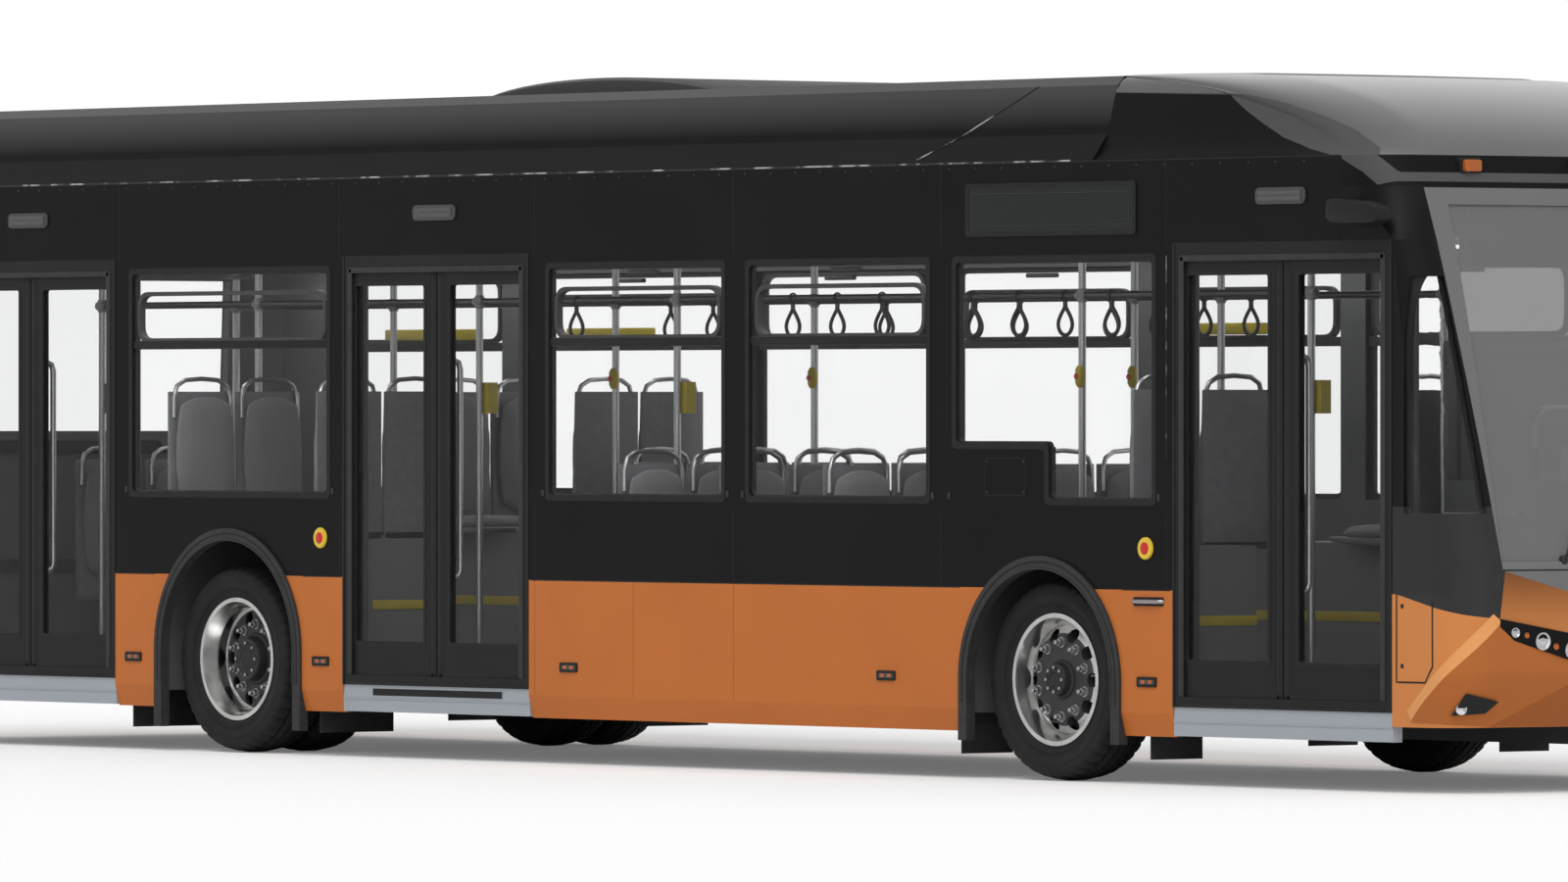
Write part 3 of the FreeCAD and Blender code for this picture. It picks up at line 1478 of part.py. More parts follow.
def front_dome():
    levels = [
        ("rail_z", "brow_back", HALF, "brow_corner"),
        (WAIST_Z, "dome_waist_back", "fairing_waist_y", "dome_waist_corner"),
        ("rail_z + dome_high_rise", "dome_high_back", "dome_high_y", "dome_high_corner"),
        (ROOF_Z, "dome_top_back", "dome_top_y", "dome_top_corner"),
    ]
    columns = [[size(words) for words in column] for column in zip(*levels)]
    wires = []
    for band in range(DOME_BANDS + 1):
        z, back, y, corner = [through(column, band / DOME_BANDS) for column in columns]
        wires.append(plan_outline(1, z, back, y, corner, y * size("dome_crown_share"), size("front_crown"), ROOF_SEAM, 0.0))
    dome = Part.makeLoft(wires, True, True)
    brow = Part.makeLoft([front_outline("screen_top"), front_outline("brow")], True, True)
    return node(coded("front_dome", dome.fuse(brow)))


front_dome()


def rear_outline(level, inset=0.0):
    z = size("%s_z" % level)
    lean = size("rear_lean") * max(0.0, (z - size("belt_z")) / (size("rail_z") - size("belt_z")))
    return plan_outline(-1, z, lean, size(HALF), size("rear_corner_back"), size("rear_crown_y"),
                        size("rear_crown"), REAR_SEAM, inset)


def hatch_hinge(side):
    """One hinge of the rear hatch: the fixed ears with their pin, and the barrel that turns on it."""
    x = size("%s + rear_lean" % TAIL) - size("rear_lean") * (size("rail_z - hatch_high_z") / size("rail_z - belt_z"))
    z = size("hatch_high_z - hatch_gap / 2")
    middle = side * size("hinge_y")
    half = size("hinge_half")
    reach = half + size("hinge_ear")
    web = size("hinge_web")
    pin = Part.makeCylinder(size("hinge_pin"), 2 * reach, V(x, middle - reach, z), V(0, 1, 0))
    ears = []
    for start, end in ((-reach, -half - size("seat_gap")), (half + size("seat_gap"), reach)):
        ears.append(box_between(x - size("hinge_barrel"), x + web, middle + start, middle + end,
                                z - size("hinge_barrel") * 0.3, z + web))
    barrel = Part.makeCylinder(size("hinge_barrel"), 2 * half, V(x, middle - half, z), V(0, 1, 0))
    leaf = box_between(x, x + web, middle - half, middle + half, z - web, z - size("hinge_barrel") * 0.4)
    bore = Part.makeCylinder(size("hinge_pin + pin_clearance"), 4 * half, V(x, middle - 2 * half, z), V(0, 1, 0))
    return pin.fuse(ears), barrel.fuse(leaf).cut(bore)


def rear_end():
    """The rear panel, the wall over it with its window, the hatch on its hinges, and the lamps."""
    thick = size("rear_shell_thick")
    tail = size("%s - quarter_reach" % TAIL)
    seam = size(REAR_SEAM)
    upper = ["belt", "rail"]
    node(coded("rear_panel", end_shell(rear_outline, ["bumper_low", "belt"], thick, True)))
    gap = size("hatch_gap")
    half = size("hatch_half")
    wide = size("rear_window_half")
    window = box_between(tail, seam, -wide, wide, size("rear_window_low_z"), size("rear_window_high_z"))
    hole = box_between(tail, seam, -half - gap, half + gap, size("hatch_low_z") - gap, size("hatch_high_z"))
    lid = box_between(tail, seam, -half, half, size("hatch_low_z"), size("hatch_high_z") - gap)
    wall = end_shell(rear_outline, upper, thick, True).cut(window).cut(hole)
    plate = end_shell(rear_outline, upper, size("hatch_thick"), True).common(lid)
    skin = end_shell(lamp_skin(rear_outline), upper, size("lamp_thick"), True)
    lamps = []
    for opening in lamp_openings(tail, seam, "tail_lamp_low_z", "tail_lamp_high_z",
                                 "tail_lamp_inner_y", "tail_lamp_outer_y"):
        wall = wall.cut(opening)
        lamps.append(skin.common(opening))
    inside = Part.makeLoft([rear_outline(level, size("hatch_thick")) for level in upper], True, True)
    for side in (-1, 1):
        fixed, turning = hatch_hinge(side)
        wall = wall.fuse(fixed.cut(inside))
        plate = plate.fuse(turning.cut(inside))
    node(coded("rear_wall", wall.removeSplitter()))
    node(coded("rear_hatch", plate.removeSplitter()))
    inset = size("glass_inset")
    glass = end_shell(lambda level, more=0.0: rear_outline(level, inset + more), upper, size("glass_thick"), True)
    return coded("RearGlass", glass.common(window)), coded("TailLamps", Part.makeCompound(lamps))


rear_glass, tail_lamps = rear_end()
node(group("window_glass", panes + [corner_glass, rear_glass]))


# Mud flaps ahead of and behind each wheel, hung from the floor

def mud_flaps():
    flaps = []
    places = (
        ("FrontBehind", "%s - front_flap_behind" % FRONT_AXLE, "flap_width"),
        ("FrontAhead", "%s + front_flap_ahead" % FRONT_AXLE, "flap_width"),
        ("RearBehind", "%s - rear_flap_behind" % REAR_AXLE, "twin_flap_width"),
        ("RearAhead", "%s + rear_flap_ahead" % REAR_AXLE, "twin_flap_width"),
    )
    for name, x, width in places:
        for side in (-1, 1):
            y_low, y_high = y_span(side, "flap_outer_y - %s" % width, "flap_outer_y")
            tag = "R" if side < 0 else "L"
            flaps.append(block("Flap%s%s" % (name, tag), x, "%s + flap_thick" % x, y_low, y_high,
                               "flap_low_z", "floor_z - floor_thick"))
    return node(group("mud_flaps", flaps))


mud_flaps()


# Destination displays, on the door side and behind the head of the windscreen

def displays():
    side = block("DisplaySide", "%s + display_rear" % FRONT_AXLE, "%s + display_front" % FRONT_AXLE,
                 "-%s - display_proud" % HALF, "-%s" % HALF, "display_low_z", "display_high_z")
    header = block("DisplayHeader", "%s - header_back - header_thick" % NOSE, "%s - header_back" % NOSE,
                   "-header_half_width", "header_half_width", "header_low_z", "screen_top_z")
    return node(group("destination_displays", [side, header]))


displays()


def camera_pods():
    pods = []
    x = "(%s - pod_back)" % FRONT_SEAM
    for side in (-1, 1):
        tag = "R" if side < 0 else "L"
        y_low, y_high = y_span(side, "%s + pod_gap" % HALF, "%s + pod_gap + pod_width" % HALF)
        pod = block("Pod" + tag, x, "%s + pod_length" % x, y_low, y_high, "pod_low_z", "pod_high_z")
        y_low, y_high = y_span(side, HALF, "%s + pod_gap + pod_width / 2" % HALF)
        stalk = block("PodStalk" + tag, "%s + stalk_inset" % x, "%s + pod_length / 2" % x, y_low, y_high,
                      "pod_low_z + stalk_inset", "pod_high_z - stalk_inset")
        pods.append(fused("PodWhole" + tag, [pod, stalk]))
    return node(group("camera_pods", pods))


camera_pods()


# Side markers along the skirts and lamps over the doors

def side_lamps():
    items = []
    markers = [
        "%s - marker_rear_behind" % REAR_AXLE, "%s + marker_rear_ahead" % REAR_AXLE,
        "%s + marker_middle_gap" % MIDDLE_DOOR_FRONT, "%s - marker_front_behind" % FRONT_AXLE,
        "%s + marker_front_ahead" % FRONT_AXLE,
    ]
    for index, x in enumerate(markers):
        for side in (-1, 1):
            y_low, y_high = y_span(side, HALF, "%s + marker_proud" % HALF)
            tag = "%d%s" % (index, "R" if side < 0 else "L")
            items.append(block("Marker" + tag, "%s - marker_length / 2" % x, "%s + marker_length / 2" % x, y_low, y_high,
                               "marker_z - marker_height / 2", "marker_z + marker_height / 2"))
    for place, x in DOORS.items():
        items.append(block("DoorLamp" + place.title(), "%s - door_lamp_length / 2" % x,
                           "%s + door_lamp_length / 2" % x, "-%s - door_lamp_proud" % HALF, "-%s" % HALF,
                           "door_lamp_z - door_lamp_height / 2", "door_lamp_z + door_lamp_height / 2"))
    return items


node(group("lamps", side_lamps() + [head_lamps, tail_lamps]))


# Seats: a cushion and a back on a leg or on a wheel box

def seat(name, back_x, y, base, facing, height):
    """One seat. back_x is the rear face of its back, facing is 1 forward and -1 rearward."""
    def along(near, far):
        if facing > 0:
            return "%s + %s" % (back_x, near), "%s + %s" % (back_x, far)
        return "%s - %s" % (back_x, far), "%s - %s" % (back_x, near)
    top = "(%s + %s)" % (base, height)
    y_low = "%s - seat_width / 2" % y
    y_high = "%s + seat_width / 2" % y
    items = [
        block(name + "Cushion", *along("0", "(seat_depth + back_thick)"), y_low, y_high, top + " - cushion_thick", top),
        block(name + "Back", *along("0", "back_thick"), y_low, y_high, top + " - back_low", top + " + back_height"),
    ]
    if height == "cushion_height":
        items.append(block(name + "Leg", *along("leg_start", "(leg_start + leg_width)"), "%s - leg_thick / 2" % y,
                           "%s + leg_thick / 2" % y, base, top + " - cushion_thick"))
    return fused(name, items)


def seat_pair(name, back_x, side, base, facing, height):
    inner = "(%s - wall_thick - seat_wall_gap)" % HALF
    seats = []
    for place in range(2):
        y = "(%s - seat_width / 2 - %d * seat_pitch_y)" % (inner, place)
        if side < 0:
            y = "(-%s)" % y
        seats.append(seat("%s%d" % (name, place), back_x, y, base, facing, height))
    return seats


FRONT_BOX_REAR = "(%s + front_arch_ahead - box_half_length)" % FRONT_AXLE
REAR_BOX_FRONT = "(%s + rear_arch_ahead + box_half_length)" % REAR_AXLE
LEFT_FIRST_ROW = "(%s + left_row_gap)" % REAR_BOX_FRONT
LEFT_MIDDLE_POLE = "(%s - pole_left_behind_axle)" % FRONT_AXLE


def right_rows():
    """Where the backs of the rows between the front wheel box and the middle door stand."""
    last = "(%s - right_row_gap)" % FRONT_BOX_REAR
    count = int(size("(%s - %s - row_door_gap) / seat_row_pitch" % (last, MIDDLE_DOOR_FRONT))) + 1
    return ["(%s - %d * seat_row_pitch)" % (last, index) for index in range(count)]


def left_rows():
    """Where the backs of the rows between the rear wheel box and the pole behind the front one stand."""
    count = int(size("(%s - row_pole_gap - %s) / seat_row_pitch" % (LEFT_MIDDLE_POLE, LEFT_FIRST_ROW))) + 1
    return ["(%s + %d * seat_row_pitch)" % (LEFT_FIRST_ROW, index) for index in range(count)]


def seats():
    items = []
    rear_box = "(%s + rear_arch_ahead" % REAR_AXLE
    front_box = "(%s + front_arch_ahead" % FRONT_AXLE
    for side in (-1, 1):
        tag = "R" if side < 0 else "L"
        for name, x, facing in (
            ("SeatTail", rear_box + " - box_half_length)", 1), ("SeatMid", rear_box + " + box_half_length)", -1),
            ("SeatNose", front_box + " + box_half_length - box_seat_shift)", -1),
        ):
            items += seat_pair(name + tag, x, side, "box_top_z", facing, "cushion_thick")
    for index, x in enumerate(right_rows()):
        items += seat_pair("SeatRight%d" % index, x, -1, "floor_z", 1, "cushion_height")
    for index, x in enumerate(left_rows()):
        items += seat_pair("SeatLeft%d" % index, x, 1, "floor_z", 1, "cushion_height")
    for index in range(3):
        items.append(seat("SeatBench%d" % index, "(%s + bench_gap)" % REAR_SEAM, "(%d * bench_pitch)" % index,
                          "floor_z", 1, "cushion_height"))
    items.append(seat("SeatDriver", "(%s - driver_seat_back)" % NOSE, "driver_seat_y", "driver_floor_z", 1,
                      "cushion_height"))
    return node(group("seats", items))


seats()


# Grab rails: two long rails under the ceiling on stanchions

def pole_places(side):
    """Where the poles stand along the bus on one side, from the tail forward."""
    if side < 0:
        ahead = "(%s + pole_middle_gap)" % MIDDLE_DOOR_FRONT
        middle = "(%s - pole_right_behind_axle)" % FRONT_AXLE
        last = "pole_right_behind"
    else:
        ahead = "(%s + 2 * seat_row_pitch - pole_row_gap)" % LEFT_FIRST_ROW
        middle = LEFT_MIDDLE_POLE
        last = "pole_left_behind"
    return [
        "(%s + pole_tail_ahead)" % REAR_SEAM, "(%s - rear_door_start + pole_door_gap)" % REAR_AXLE,
        "(%s + middle_door_start - pole_door_gap)" % REAR_AXLE, ahead, middle,
        "(%s - pole_axle_behind)" % FRONT_AXLE, "(%s + front_door_start - %s)" % (FRONT_AXLE, last),
    ]


def grab_rail(side):
    tag = "Right" if side < 0 else "Left"
    y = "%srail_y" % ("-" if side < 0 else "")
    places = pole_places(side)
    length = "%s - %s" % (places[-1], places[0])
    items = [rod("Rail" + tag, "rail_radius", length, places[0], y, "rail_height", "X")]
    for index, x in enumerate(places):
        items.append(rod("Pole%s%d" % (tag, index), "rail_radius", "ceiling_z - floor_z", x, y, "floor_z"))
    return fused("Rails" + tag, items)


node(group("grab_rails", [grab_rail(-1), grab_rail(1)]))


# Hand straps: teardrop loops under the rails

DOOR_STRAPS = (0, 1)
FRONT_STRAPS = (0, 1, 2, 3, 5, 6, 7, 8)


def strap_places():
    """Where the straps hang: two beside the middle door, and the rest back from the front axle."""
    places = ["(%s - strap_start + %d * strap_pitch)" % (MIDDLE_DOOR_FRONT, index) for index in DOOR_STRAPS]
    nearest = size(MIDDLE_DOOR_FRONT + " + strap_door_gap")
    for index in FRONT_STRAPS:
        x = "(%s - strap_front - %d * strap_pitch)" % (FRONT_AXLE, index)
        if size(x) > nearest:
            places.append(x)
    return places


def hand_straps(side):
    y = "%srail_y" % ("-" if side < 0 else "")
    top = "(rail_height - rail_radius)"
    foot = "%s - strap_height" % top
    loops = []
    for x in strap_places():
        half = [("strap_neck_half", top), ("strap_neck_half", top + " - strap_neck"), ("strap_width / 2", foot)]
        hole = [("strap_hole_half", top + " - strap_neck - strap_band"),
                ("(strap_width / 2 - strap_band * strap_hole_lean)", foot + " + strap_band")]
        for outline in (half, hole):
            right = [("%s + %s" % (x, reach), z) for reach, z in outline]
            left = [("%s - %s" % (x, reach), z) for reach, z in reversed(outline)]
            loops.append(right + left)
    return prism("Straps" + ("Right" if side < 0 else "Left"), "XZ_Plane", loops,
                 "%s - strap_thick / 2" % y, "%s + strap_thick / 2" % y)


node(group("hand_straps", [hand_straps(-1), hand_straps(1)]))


# Yellow fittings: ticket readers on the stanchions, step edges and emergency buttons

def yellow_fittings():
    items = []
    poles = pole_places(-1)
    for index in (0, 2, 3, 6):
        x = poles[index]
        items.append(block("Reader%d" % index, "%s - validator_width / 2" % x, "%s + validator_width / 2" % x,
                           "-rail_y + rail_radius", "-rail_y + rail_radius + validator_depth",
                           "validator_low_z", "validator_low_z + validator_height"))
    y_low = "-%s + jamb_depth + step_edge_gap" % HALF
    for place in DOORS:
        rear, front = door_edges(place)
        items.append(block("StepEdge" + place.title(), "%s + step_edge_inset" % rear, "%s - step_edge_inset" % front,
                           y_low, "%s + step_edge_width" % y_low, "floor_z", "floor_z + step_edge_thick"))
    for name, x in (("Rear", "%s + rear_button_ahead" % REAR_AXLE), ("Front", "%s + front_button_ahead" % FRONT_AXLE)):
        items.append(rod("Button" + name, "button_radius", "button_proud", x, "-%s - button_proud" % HALF,
                         "button_z", "Y"))
    return node(group("yellow_fittings", items))


yellow_fittings()


# Driver's cab: partition, side panel, raised floor and dashboard

def cab_panels():
    rear = "(%s + cab_rear)" % FRONT_AXLE
    wall = "(%s - wall_thick)" % HALF
    dash = "(%s - dash_rear_back)" % NOSE
    return [
        block("CabPartition", rear, "%s + cab_panel_thick" % rear, "cab_side_y", wall, "floor_z", "cab_high_z"),
        block("CabSide", rear, "%s + cab_door_length" % rear, "cab_side_y", "cab_side_y + cab_panel_thick",
              "floor_z", "cab_door_high_z"),
        block("CabFloor", rear, "%s + cab_floor_lap" % dash, "cab_side_y", "dash_left_y", "floor_z", "driver_floor_z"),
        block("Dash", dash, "%s - dash_front_back" % NOSE, "dash_right_y", "dash_left_y", "dash_low_z", "dash_high_z"),
        block("DashLeg", dash, "%s - dash_front_back - dash_leg_back" % NOSE, "cab_side_y",
              "cab_side_y + dash_leg_width", "floor_z", "dash_low_z"),
    ]


def on_column(label, shape):
    """A shape built about the steering axis, moved to the wheel's place and tilted to the driver."""
    item = coded(label, shape)
    turn = FreeCAD.Rotation(V(0, 1, 0), -size("wheel_tilt"))
    item.Placement = FreeCAD.Placement(V(size("%s - wheel_back" % NOSE), size("driver_seat_y"), size("wheel_height")), turn)
    return item


def steering():
    ring = Part.makeTorus(size("wheel_ring"), size("wheel_tube"))
    drop = size("hub_drop")
    hub = Part.makeCylinder(size("wheel_hub_radius"), size("wheel_hub_height"), V(0, 0, -drop))
    width = size("spoke_width")
    spoke = Part.makeBox(size("wheel_ring"), width, size("spoke_thick"), V(0, -width / 2, -size("spoke_drop")))
    spokes = [spoke.rotated(V(0, 0, 0), V(0, 0, 1), turn) for turn in (60, 180, 300)]
    node(on_column("steering_wheel", ring.fuse([hub] + spokes)))
    length = size("column_length")
    column = Part.makeCylinder(size("column_radius"), length, V(0, 0, -drop - size("seat_gap") - length))
    node(fused("driver_cab", cab_panels() + [on_column("SteeringColumn", column)]))


steering()


# Wipers, parked low on the windscreen

def wipers():
    screen = Part.makeLoft([front_outline(level) for level in ("screen_low", "screen_mid", "screen_high")], True, False)
    seam = size(FRONT_SEAM)
    nose = size(NOSE)
    radius = size("wiper_radius")
    gap = size("wiper_clearance")
    items = []
    for start_y in (size("wiper_right_y"), size("wiper_left_y")):
        ends = []
        for y, z in ((start_y, size("wiper_low_z")), (start_y + size("wiper_lean"), size("wiper_high_z"))):
            inside = Part.makeLine(V(seam, y, z), V(nose + gap, y, z)).common(screen)
            ends.append(V(inside.BoundBox.XMax + gap, y, z))
        run = ends[1] - ends[0]
        arm = Part.makeCylinder(radius, run.Length, ends[0], run)
        foot = ends[0] - V(2 * gap + radius, 0, 0)
        pivot = Part.makeCylinder(size("wiper_pivot_radius"), 2 * gap + 2 * radius, foot, V(1, 0, 0)).cut(screen)
        items.append(arm.fuse(pivot).cut(screen))
    return node(coded("wipers", Part.makeCompound(items)))


wipers()


# Every feature has to have built before anything is written

def check_and_write():
    doc.recompute()
    for item in doc.Objects:
        if "Invalid" in item.State or "Error" in item.State:
            raise RuntimeError("%s did not build: %s" % (item.Label, item.State))
    os.makedirs("parts", exist_ok=True)
    for item in nodes:
        shape = item.Shape
        if shape.isNull() or not shape.isValid():
            raise RuntimeError("%s has no valid shape" % item.Label)
        shape.exportStep("parts/%s.step" % item.Label)


check_and_write()
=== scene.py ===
import math
import random

import bmesh
import bpy
from mathutils import Matrix, Vector


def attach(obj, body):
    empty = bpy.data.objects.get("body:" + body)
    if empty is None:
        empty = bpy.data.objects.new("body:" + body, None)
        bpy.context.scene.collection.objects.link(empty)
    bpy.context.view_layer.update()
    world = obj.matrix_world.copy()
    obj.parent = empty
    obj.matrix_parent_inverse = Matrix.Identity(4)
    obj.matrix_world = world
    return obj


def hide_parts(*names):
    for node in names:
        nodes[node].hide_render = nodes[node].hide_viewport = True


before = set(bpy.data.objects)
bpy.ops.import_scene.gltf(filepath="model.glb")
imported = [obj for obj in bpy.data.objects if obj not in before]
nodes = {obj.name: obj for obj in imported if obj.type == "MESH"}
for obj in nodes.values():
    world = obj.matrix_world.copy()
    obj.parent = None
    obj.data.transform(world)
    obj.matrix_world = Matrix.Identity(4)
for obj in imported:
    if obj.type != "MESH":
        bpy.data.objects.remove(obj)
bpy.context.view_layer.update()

# The bus in metres: +X forward, +Y to the driver's side, +Z up
HALF = 1.275
NOSE = 6.11
FRONT_AXLE = 3.17
REAR_AXLE = -2.99
WHEEL_Z = 0.455
BELT_Z = 0.866
RAIL_Z = 2.776
FLOOR_Z = 0.356
FRONT_SEAM_X = 5.563
HANDRAIL_Y = 0.42
HANDRAIL_Z = 2.19
HANDRAIL_RADIUS = 0.0175
SEAM_GAP = 0.005
DOOR_CENTRES = {"front": 4.834, "middle": -1.273, "rear": -4.587}
DOOR_HALF = 0.7285
HALVES = ("front", "rear")
SIDES = {"right": -1, "left": 1}


def linked(name, data):
    """A new object in the scene."""
    item = bpy.data.objects.new(name, data)
    bpy.context.scene.collection.objects.link(item)
    return item


# Camera at the photograph's viewing angle

CAMERA_TURN = 51.03

camera_data = bpy.data.cameras.new("camera")
camera_data.lens = 291.91
camera_data.sensor_width = 36.0
camera_data.shift_y = -0.0182
camera_data.clip_end = 400.0
camera = linked("camera", camera_data)
camera.location = (46.796, -38.0225, 1.6546)
camera.rotation_euler = (math.radians(90.0), 0.0, math.radians(CAMERA_TURN))
bpy.context.scene.camera = camera


# Materials

BLACK = (0.0070, 0.0070, 0.0074)
COPPER = (0.50, 0.148, 0.032)
FRONT_COPPER = (0.585, 0.215, 0.062)
# Painted highlight on the lit slope of the front crease
HIGHLIGHT_COPPER = (0.68, 0.30, 0.105)
SHADED_COPPER = (0.405, 0.125, 0.030)
# Darker copper: the skirts' seam lines, and painted shade on the low front face that turns down
SEAM_AND_SHADE_COPPER = (0.32, 0.096, 0.023)
DEEP_COPPER = (0.130, 0.045, 0.014)
LINING = (0.125, 0.126, 0.130)
FRONT_BLACK = (0.030, 0.030, 0.0305)
FRIT_GREY = (0.150, 0.150, 0.150)
# Painted reflection on the rounded corner of the cap over the windscreen
REFLECTION_GREY = (0.078, 0.078, 0.080)
DOME_BLACK = (0.016, 0.016, 0.0168)
HAZE_GREY = (0.215, 0.215, 0.214)
DISPLAY_DARK = (0.008, 0.011, 0.010)
DISPLAY_DOT = (0.017, 0.022, 0.020)
TAIL_RED = (0.26, 0.012, 0.010)
DOOR_LAMP_GREY = (0.045, 0.045, 0.047)
POLE_METAL = (0.36, 0.36, 0.37)
RAIL_BLACK = (0.014, 0.014, 0.014)
RIM_DARK = (0.030, 0.030, 0.031)
WHITE = (1.0, 1.0, 1.0)

PAINT_GRAIN = 260.0
WALL_INSIDE_Y = 1.2155
SKIRT_INSIDE_Y = 1.243
REAR_INSIDE_Y = 1.235
REAR_LEAN = 0.09
REAR_CURVE = 0.052
REAR_WALL = 0.016
REAR_CORNER = 7.16
FACE_X = 6.0355
RAIL_BLACK_HALF = 0.019


class Nodes:
    """Short ways to build a node tree; a value is a socket, a number or a colour."""

    def __init__(self, tree):
        self.tree = tree

    def put(self, value, socket):
        """Links a value to a socket, or sets the socket's constant."""
        if isinstance(value, bpy.types.NodeSocket):
            self.tree.links.new(value, socket)
        elif socket.type == "RGBA" and len(value) == 3:
            socket.default_value = (*value, 1.0)
        else:
            socket.default_value = value

    def new(self, kind, settings=None, **inputs):
        """A node with its settings and the values of its sockets."""
        item = self.tree.nodes.new(kind)
        for key, value in (settings or {}).items():
            setattr(item, key, value)
        for key, value in inputs.items():
            self.put(value, item.inputs[key.replace("_", " ")])
        return item

    def place(self):
        """The point in the object's own frame."""
        return self.new("ShaderNodeTexCoord").outputs["Object"]

    def axis(self, name):
        """One coordinate of the point in the bus's own frame."""
        return self.new("ShaderNodeSeparateXYZ", Vector=self.place()).outputs[name]

    def math(self, operation, first, second=0.0):
        item = self.new("ShaderNodeMath", {"operation": operation})
        self.put(first, item.inputs[0])
        self.put(second, item.inputs[1])
        return item.outputs["Value"]

    def times(self, first, *others):
        """The product of the values."""
        for other in others:
            first = self.math("MULTIPLY", first, other)
        return first

    def above(self, value, limit):
        return self.math("GREATER_THAN", value, limit)

    def below(self, value, limit):
        return self.math("LESS_THAN", value, limit)

    def mapped(self, value, from_low, from_high, low=0.0, high=1.0):
        """A value moved from one range to another."""
        item = self.new("ShaderNodeMapRange", Value=value, From_Min=from_low, From_Max=from_high,
                        To_Min=low, To_Max=high)
        return item.outputs["Result"]

    def level(self, share, low, high):
        """Low where the share is 0 and high where it is 1."""
        return self.mapped(share, 0.0, 1.0, low, high)

    def noise(self, scale, detail=3.0, stretch=(1.0, 1.0, 1.0)):
        """Noise fixed to the object, stretched along its axes."""
        fit = self.new("ShaderNodeMapping", Vector=self.place(), Scale=stretch)
        item = self.new("ShaderNodeTexNoise", Vector=fit.outputs["Vector"], Scale=scale, Detail=detail)
        return item.outputs["Fac"]

    def ramp(self, source, stops):
        """A colour ramp over a value; stops are (position, colour)."""
        item = self.new("ShaderNodeValToRGB", Fac=source)
        while len(item.color_ramp.elements) < len(stops):
            item.color_ramp.elements.new(0.5)
        for element, (position, colour) in zip(item.color_ramp.elements, stops):
            element.position = position
            element.color = (*colour, 1.0)
        return item.outputs["Color"]

    def mixed(self, factor, first, second):
        """The first colour where the factor is 0 and the second where it is 1."""
        item = self.new("ShaderNodeMix", {"data_type": "RGBA"}, Factor=factor)
        sockets = [socket for socket in item.inputs if socket.type == "RGBA"]
        for socket, value in zip(sockets, (first, second)):
            self.put(value, socket)
        return [socket for socket in item.outputs if socket.type == "RGBA"][0]

    def blended(self, factor, first, second):
        """Two shaders mixed by a factor."""
        item = self.new("ShaderNodeMixShader")
        for socket, value in zip(item.inputs, (factor, first, second)):
            self.put(value, socket)
        return item.outputs["Shader"]

    def seen_directly(self):
        """1 for rays from the camera, straight or through glass."""
        rays = self.new("ShaderNodeLightPath").outputs
        return self.math("MAXIMUM", rays["Is Camera Ray"], rays["Is Transmission Ray"])


class Finish(Nodes):
    """A new material whose Principled shader has this base colour and these values."""

    def __init__(self, name, colour, **shader):
        self.material = bpy.data.materials.new(name)
        self.material.use_nodes = True
        super().__init__(self.material.node_tree)
        self.shade = self.tree.nodes["Principled BSDF"]
        self.set(Base_Color=colour, **shader)

    def set(self, **values):
        """Gives sockets of the shader their values."""
        for key, value in values.items():
            self.put(value, self.shade.inputs[key.replace("_", " ")])

    def surface(self, shader):
        self.tree.links.new(shader, self.tree.nodes["Material Output"].inputs["Surface"])

    def vary(self, colour, scale, share):
        """Breaks the base colour up a little, from darker to lighter by share."""
        low = tuple(part * (1.0 - share) for part in colour)
        high = tuple(min(1.0, part * (1.0 + share)) for part in colour)
        made = self.ramp(self.noise(scale, 4.0), [(0.3, low), (0.7, high)])
        self.set(Base_Color=made)
        return made

    def roughen(self, scale, low, high):
        """Varies the roughness between low and high."""
        self.set(Roughness=self.level(self.noise(scale, 2.0), low, high))

    def bump(self, source, distance, strength=0.4):
        """Fine relief on the surface from a value."""
        item = self.new("ShaderNodeBump", Strength=strength, Distance=distance, Height=source)
        self.set(Normal=item.outputs["Normal"])

    def paint_grain(self, distance=0.0002, strength=0.12):
        self.bump(self.noise(PAINT_GRAIN, 2.0), distance, strength)

    def line_inside(self, top, inner):
        """The cabin's lining on faces nearer to the middle plane than inner."""
        inside = self.below(self.math("ABSOLUTE", self.axis("Y")), inner)
        self.set(Base_Color=self.mixed(inside, top, LINING))


def simple(name, colour, grain=40.0, share=0.12, relief=0.0005, low=0.35, high=0.5, **shader):
    """A material with a little variation in colour, gloss and relief."""
    made = Finish(name, colour, **shader)
    made.vary(colour, grain / 6.0, share)
    made.roughen(grain / 3.0, low, high)
    made.bump(made.noise(grain), relief)
    return made.material


def black_paint(name, colour=BLACK, inner=None, rough=0.40, specular=0.07):
    """Satin black paint; where inner is set, the side's inner face has the cabin's lining."""
    made = Finish(name, colour, Roughness=rough, Specular_IOR_Level=specular, Coat_Weight=0.03,
                  Coat_Roughness=0.08)
    top = made.vary(colour, 2.0, 0.10)
    if inner:
        made.line_inside(top, inner)
    made.roughen(3.0, rough - 0.06, rough + 0.08)
    made.paint_grain()
    return made.material


def copper_base(name, colour):
    made = Finish(name, colour, Roughness=0.38, Specular_IOR_Level=0.12, Coat_Weight=0.06, Coat_Roughness=0.08)
    top = made.vary(colour, 1.6, 0.05)
    made.roughen(2.0, 0.30, 0.42)
    made.bump(made.noise(900.0, 1.0), 0.0001, 0.10)
    return made, top


def copper_paint(name, colour, inner=None):
    """Copper-orange paint; where inner is set, the side's inner face has the cabin's lining."""
    made, top = copper_base(name, colour)
    if inner:
        made.line_inside(top, inner)
    return made.material


